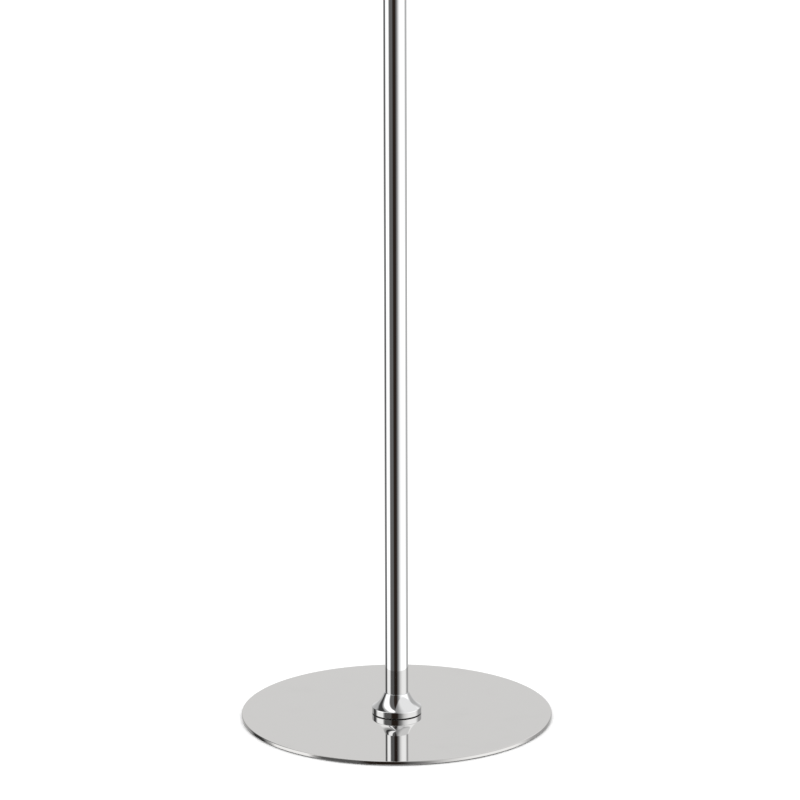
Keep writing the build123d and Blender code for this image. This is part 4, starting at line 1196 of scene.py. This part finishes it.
class FLAG_STAND_OT_finial(bpy.types.Operator):
    """Neck, hollow ball and threaded stud"""
    bl_idname = "flag_stand.finial"
    bl_label = "Finial"

    def execute(self, context):
        s = settings().finial
        ball, ball_foot, ball_top = extent("finial_ball")
        middle = ball_top - ball
        band, foot, _ = extent("finial_neck")
        seat = foot + s.skirt_depth
        top, band_top = seat + s.neck_height, foot + s.band
        rim_foot = top - s.rim_height
        cup = ball + CLOSE

        def on_cup(radius):
            return radius, middle - math.sqrt(cup**2 - radius**2)
        curve = neck_curve(np.array([band - s.ledge, band_top]), np.array([s.waist, rim_foot]),
                           np.array([-1, 0.25]), np.array([0, 1]))
        rim_edge = on_cup(s.rim)
        cup_arc = arc((0, middle), on_cup(s.rim - s.edge), on_cup(s.hole))
        stand_in_turned("finial_neck", outline(
            (s.skirt, foot, s.edge / 4), (band, foot, s.edge), (band, band_top, s.edge), *map(tuple, curve),
            (s.rim, rim_foot, s.edge), (*rim_edge, s.edge / 2), *map(tuple, cup_arc), (s.hole, seat),
            (s.skirt, seat)))

        stud, stud_foot, stud_top = extent("finial_stud")
        bore = stud + settings().pole.thread_gap
        inside = ball - s.ball_wall
        outer_arc = arc((0, middle), (bore, middle - math.sqrt(ball**2 - bore**2)), (ball, middle))
        upper_arc = arc((0, middle), (ball, middle), (0, ball_top))[1:]
        boss_top = middle - ball + s.boss_depth
        inner_arc = arc((0, middle), (0, middle + inside), (inside, middle))
        lower_arc = arc((0, middle), (inside, middle), (s.boss_radius, middle - math.sqrt(
            inside**2 - s.boss_radius**2)))[1:]
        rounds = np.concatenate([outer_arc, upper_arc, inner_arc, lower_arc])
        stand_in_turned("finial_ball", outline(
            *map(tuple, rounds), (s.boss_radius, boss_top), *threaded_run(bore, boss_top, outer_arc[0][1],
                                                                        s.stud_pitch)[:-1]),
            FINE, thread(bore, s.stud_pitch, -s.stud_pitch * METRIC, outer_arc[0][1], boss_top))

        point = s.stud_point
        stand_in_turned("finial_stud", outline(
            (0, stud_foot), (stud - point, stud_foot),
            *threaded_run(stud, stud_foot + point, stud_top - point,
                                                                   s.stud_pitch),
            (stud - point, stud_top), (0, stud_top)), COARSE,
            thread(stud, s.stud_pitch, s.stud_pitch * METRIC, stud_foot + point, stud_top - point))
        return {"FINISHED"}


# ---- kept parts and stage ----------------------------------------------------------------------------------
class FLAG_STAND_OT_kept_parts(bpy.types.Operator):
    """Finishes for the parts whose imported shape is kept: ballast, collet, guides and springs"""
    bl_idname = "flag_stand.kept_parts"
    bl_label = "Kept parts"

    def execute(self, context):
        springs = [f"{tier}_hook_spring" for tier in TIERS]
        for node in ("ballast_plate", "collet", "foot_guide", "stop_guide", *springs):
            part = frame["nodes"][node]
            if not part.material_slots:
                part.data.materials.append(None)
            for place in part.material_slots:
                place.material = finish(SLOT_OF[node])
        return {"FINISHED"}


# A plain studio for the polished metal to reflect. Each card: the way round where it starts, is full,
# starts to fade and ends, in degrees from the camera and negative to the left; its brightness; and its
# tint.
WHITE, BROWN = (1.0, 1.0, 1.0), (1.0, 0.72, 0.58)
CARDS = (
    (-64, -56, 20, 40, 0.13, WHITE),            # unlit room behind the camera
    (-30, -20, 2, 12, 0.025, BROWN),            # the darkest part of that room
    (-110, -100, -70, -62, 1.25, WHITE),        # soft box on the left
    (5, 65, 95, 125, 1.25, WHITE),              # soft box on the right, with a long soft edge
    (-140, -130, -118, -110, 0.05, WHITE),      # black flag behind the left soft box
)
BACK_WALL = (145, 178)      # how far round, to either side, the wall behind the stand starts and is full
# The rest goes by the parts of a direction: the light high behind starts and is full at these values of y
# z, and leans to the right; the roof at these of z, further down on the right, and from its left to its
# right tone at these of x; the floor is full and ends at these of z.
HIGH_BEHIND, BEHIND_LEAN = (0.33, 0.48), 0.15
ROOF, ROOF_LEAN, ROOF_SPLIT = (0.84, 0.98), 1.3, (0.0, 0.36)
FLOOR = (-0.95, -0.79)


class FLAG_STAND_OT_stage(bpy.types.Operator):
    """Pale floor, soft studio light and the camera"""
    bl_idname = "flag_stand.stage"
    bl_label = "Stage"

    def execute(self, context):
        s = settings().stage
        self.make_floor(s)
        self.make_light(s)
        self.make_camera(s)
        return {"FINISHED"}

    def make_floor(self, s):
        """A wide square just under the pad. Mirrors don't see it, because the light already holds a floor
        for them."""
        reach = s.floor_reach
        corners = [(x, y, CAD_BOX[0].z - s.floor_drop) for x, y in
                   ((-reach, -reach), (reach, -reach), (reach, reach), (-reach, reach))]
        mesh = bpy.data.meshes.new("studio_floor")
        mesh.from_pydata(corners, [], [(0, 1, 2, 3)])
        material, nodes = surface("pale_floor")
        cloud = nodes.noise(nodes.place(), 3.0, 4.0)
        close(nodes, Base_Color=nodes.mixed(cloud, shade(s.floor, 1.0), shade(s.floor, 0.99)), Roughness=0.9,
              Specular_IOR_Level=0.0)
        mesh.materials.append(material)
        floor = bpy.data.objects.new("studio_floor", mesh)
        bpy.context.scene.collection.objects.link(floor)
        floor.visible_glossy = False

    def make_light(self, s):
        """Even white light for matt surfaces; cards and flags all round for polished ones."""
        world = bpy.data.worlds.new("studio_light")
        world.use_nodes = True
        bpy.context.scene.world = world
        world.cycles.sampling_method = "NONE"
        nodes = Nodes(world.node_tree)
        x, y, z = nodes.split(nodes.add("ShaderNodeTexCoord", output="Generated"))
        way = nodes.add("ShaderNodeMath", {"operation": "ARCTAN2"}, {0: x, 1: 0 - y}) * math.degrees(1)
        aside = nodes.add("ShaderNodeMath", {"operation": "ABSOLUTE"}, {0: way})
        cards = nodes.mixed(nodes.between(aside, *BACK_WALL), glow(WHITE, s.sides), glow(WHITE, s.wall))
        for start, full, fade, end, bright, tint in CARDS:
            inside = nodes.between(way, start, full) * nodes.between(way, fade, end, 1.0, 0.0)
            cards = nodes.mixed(inside, cards, glow(tint, bright))
        behind = nodes.between(y * z + x * BEHIND_LEAN, *HIGH_BEHIND)
        cards = nodes.mixed(behind, cards, glow(WHITE, s.behind))
        roof = nodes.mixed(nodes.between(x, *ROOF_SPLIT), glow(WHITE, s.roof_left), glow(WHITE, s.roof_right))
        cards = nodes.mixed(nodes.between(z + z * x * ROOF_LEAN, *ROOF), cards, roof)
        cards = nodes.mixed(nodes.between(z, *FLOOR, 1.0, 0.0), cards, glow(WHITE, s.underneath))
        ray = nodes.add("ShaderNodeLightPath", output="Is Diffuse Ray").socket.node
        seen = nodes.add("ShaderNodeBackground", {}, {0: cards, 1: 1.0})
        fill = nodes.add("ShaderNodeBackground", {}, {0: glow(WHITE), 1: s.fill})
        backdrop = nodes.add("ShaderNodeBackground", {}, {0: glow(WHITE), 1: s.backdrop})
        light = nodes.add("ShaderNodeMixShader", {}, {
            0: Signal(nodes, ray.outputs["Is Diffuse Ray"]), 1: seen, 2: fill})
        light = nodes.add("ShaderNodeMixShader", {}, {
            0: Signal(nodes, ray.outputs["Is Camera Ray"]), 1: light, 2: backdrop})
        nodes.add("ShaderNodeOutputWorld", {}, {0: light})

    def make_camera(self, s):
        data = bpy.data.cameras.new("camera")
        data.lens = s.lens
        data.clip_start, data.clip_end = 0.05, 4 * s.floor_reach
        camera = bpy.data.objects.new("camera", data)
        bpy.context.scene.collection.objects.link(camera)
        back = Vector((0, -math.cos(s.tilt), math.sin(s.tilt)))
        place = Vector((s.aim_side, 0, s.aim_height)) + back * s.distance
        camera.matrix_world = (Matrix.Translation(place) @ Matrix.Rotation(math.pi / 2 - s.tilt, 4, "X")
                               @ Matrix.Rotation(-s.roll, 4, "Z"))
        bpy.context.scene.camera = camera
        bpy.context.scene.view_settings.view_transform = "Standard"


# ---- add-on ------------------------------------------------------------------------------------------------
STEPS = (
    FLAG_STAND_OT_base_cover, FLAG_STAND_OT_floor_pad, FLAG_STAND_OT_centre_fixing, FLAG_STAND_OT_collar,
    FLAG_STAND_OT_tubes, FLAG_STAND_OT_plugs, FLAG_STAND_OT_twist_lock, FLAG_STAND_OT_slide_washers,
    FLAG_STAND_OT_stop_collar, FLAG_STAND_OT_flag_rings, FLAG_STAND_OT_hooks, FLAG_STAND_OT_gates,
    FLAG_STAND_OT_finial, FLAG_STAND_OT_kept_parts, FLAG_STAND_OT_stage,
)


class FLAG_STAND_PT_pieces(bpy.types.Panel):
    """Lists the stand's pieces"""
    bl_idname = "FLAG_STAND_PT_pieces"
    bl_label = "Flag pole stand"
    bl_space_type = "VIEW_3D"
    bl_region_type = "UI"
    bl_category = "Flag Stand"

    def draw(self, context):
        for step in STEPS:
            self.layout.operator(step.bl_idname)


CLASSES = (BaseSizes, CollarSizes, PoleSizes, LockSizes, RingSizes, HookSizes, FinialSizes, FinishSettings,
           StageSettings, StandSettings, *STEPS, FLAG_STAND_PT_pieces)


def register():
    for item in CLASSES:
        bpy.utils.register_class(item)
    bpy.types.Scene.flag_stand = PointerProperty(type=StandSettings)


def unregister():
    del bpy.types.Scene.flag_stand
    for item in reversed(CLASSES):
        bpy.utils.unregister_class(item)


def main():
    register()
    for step in STEPS:
        group, name = step.bl_idname.split(".")
        getattr(getattr(bpy.ops, group), name)()


if __name__ == "__main__":
    main()
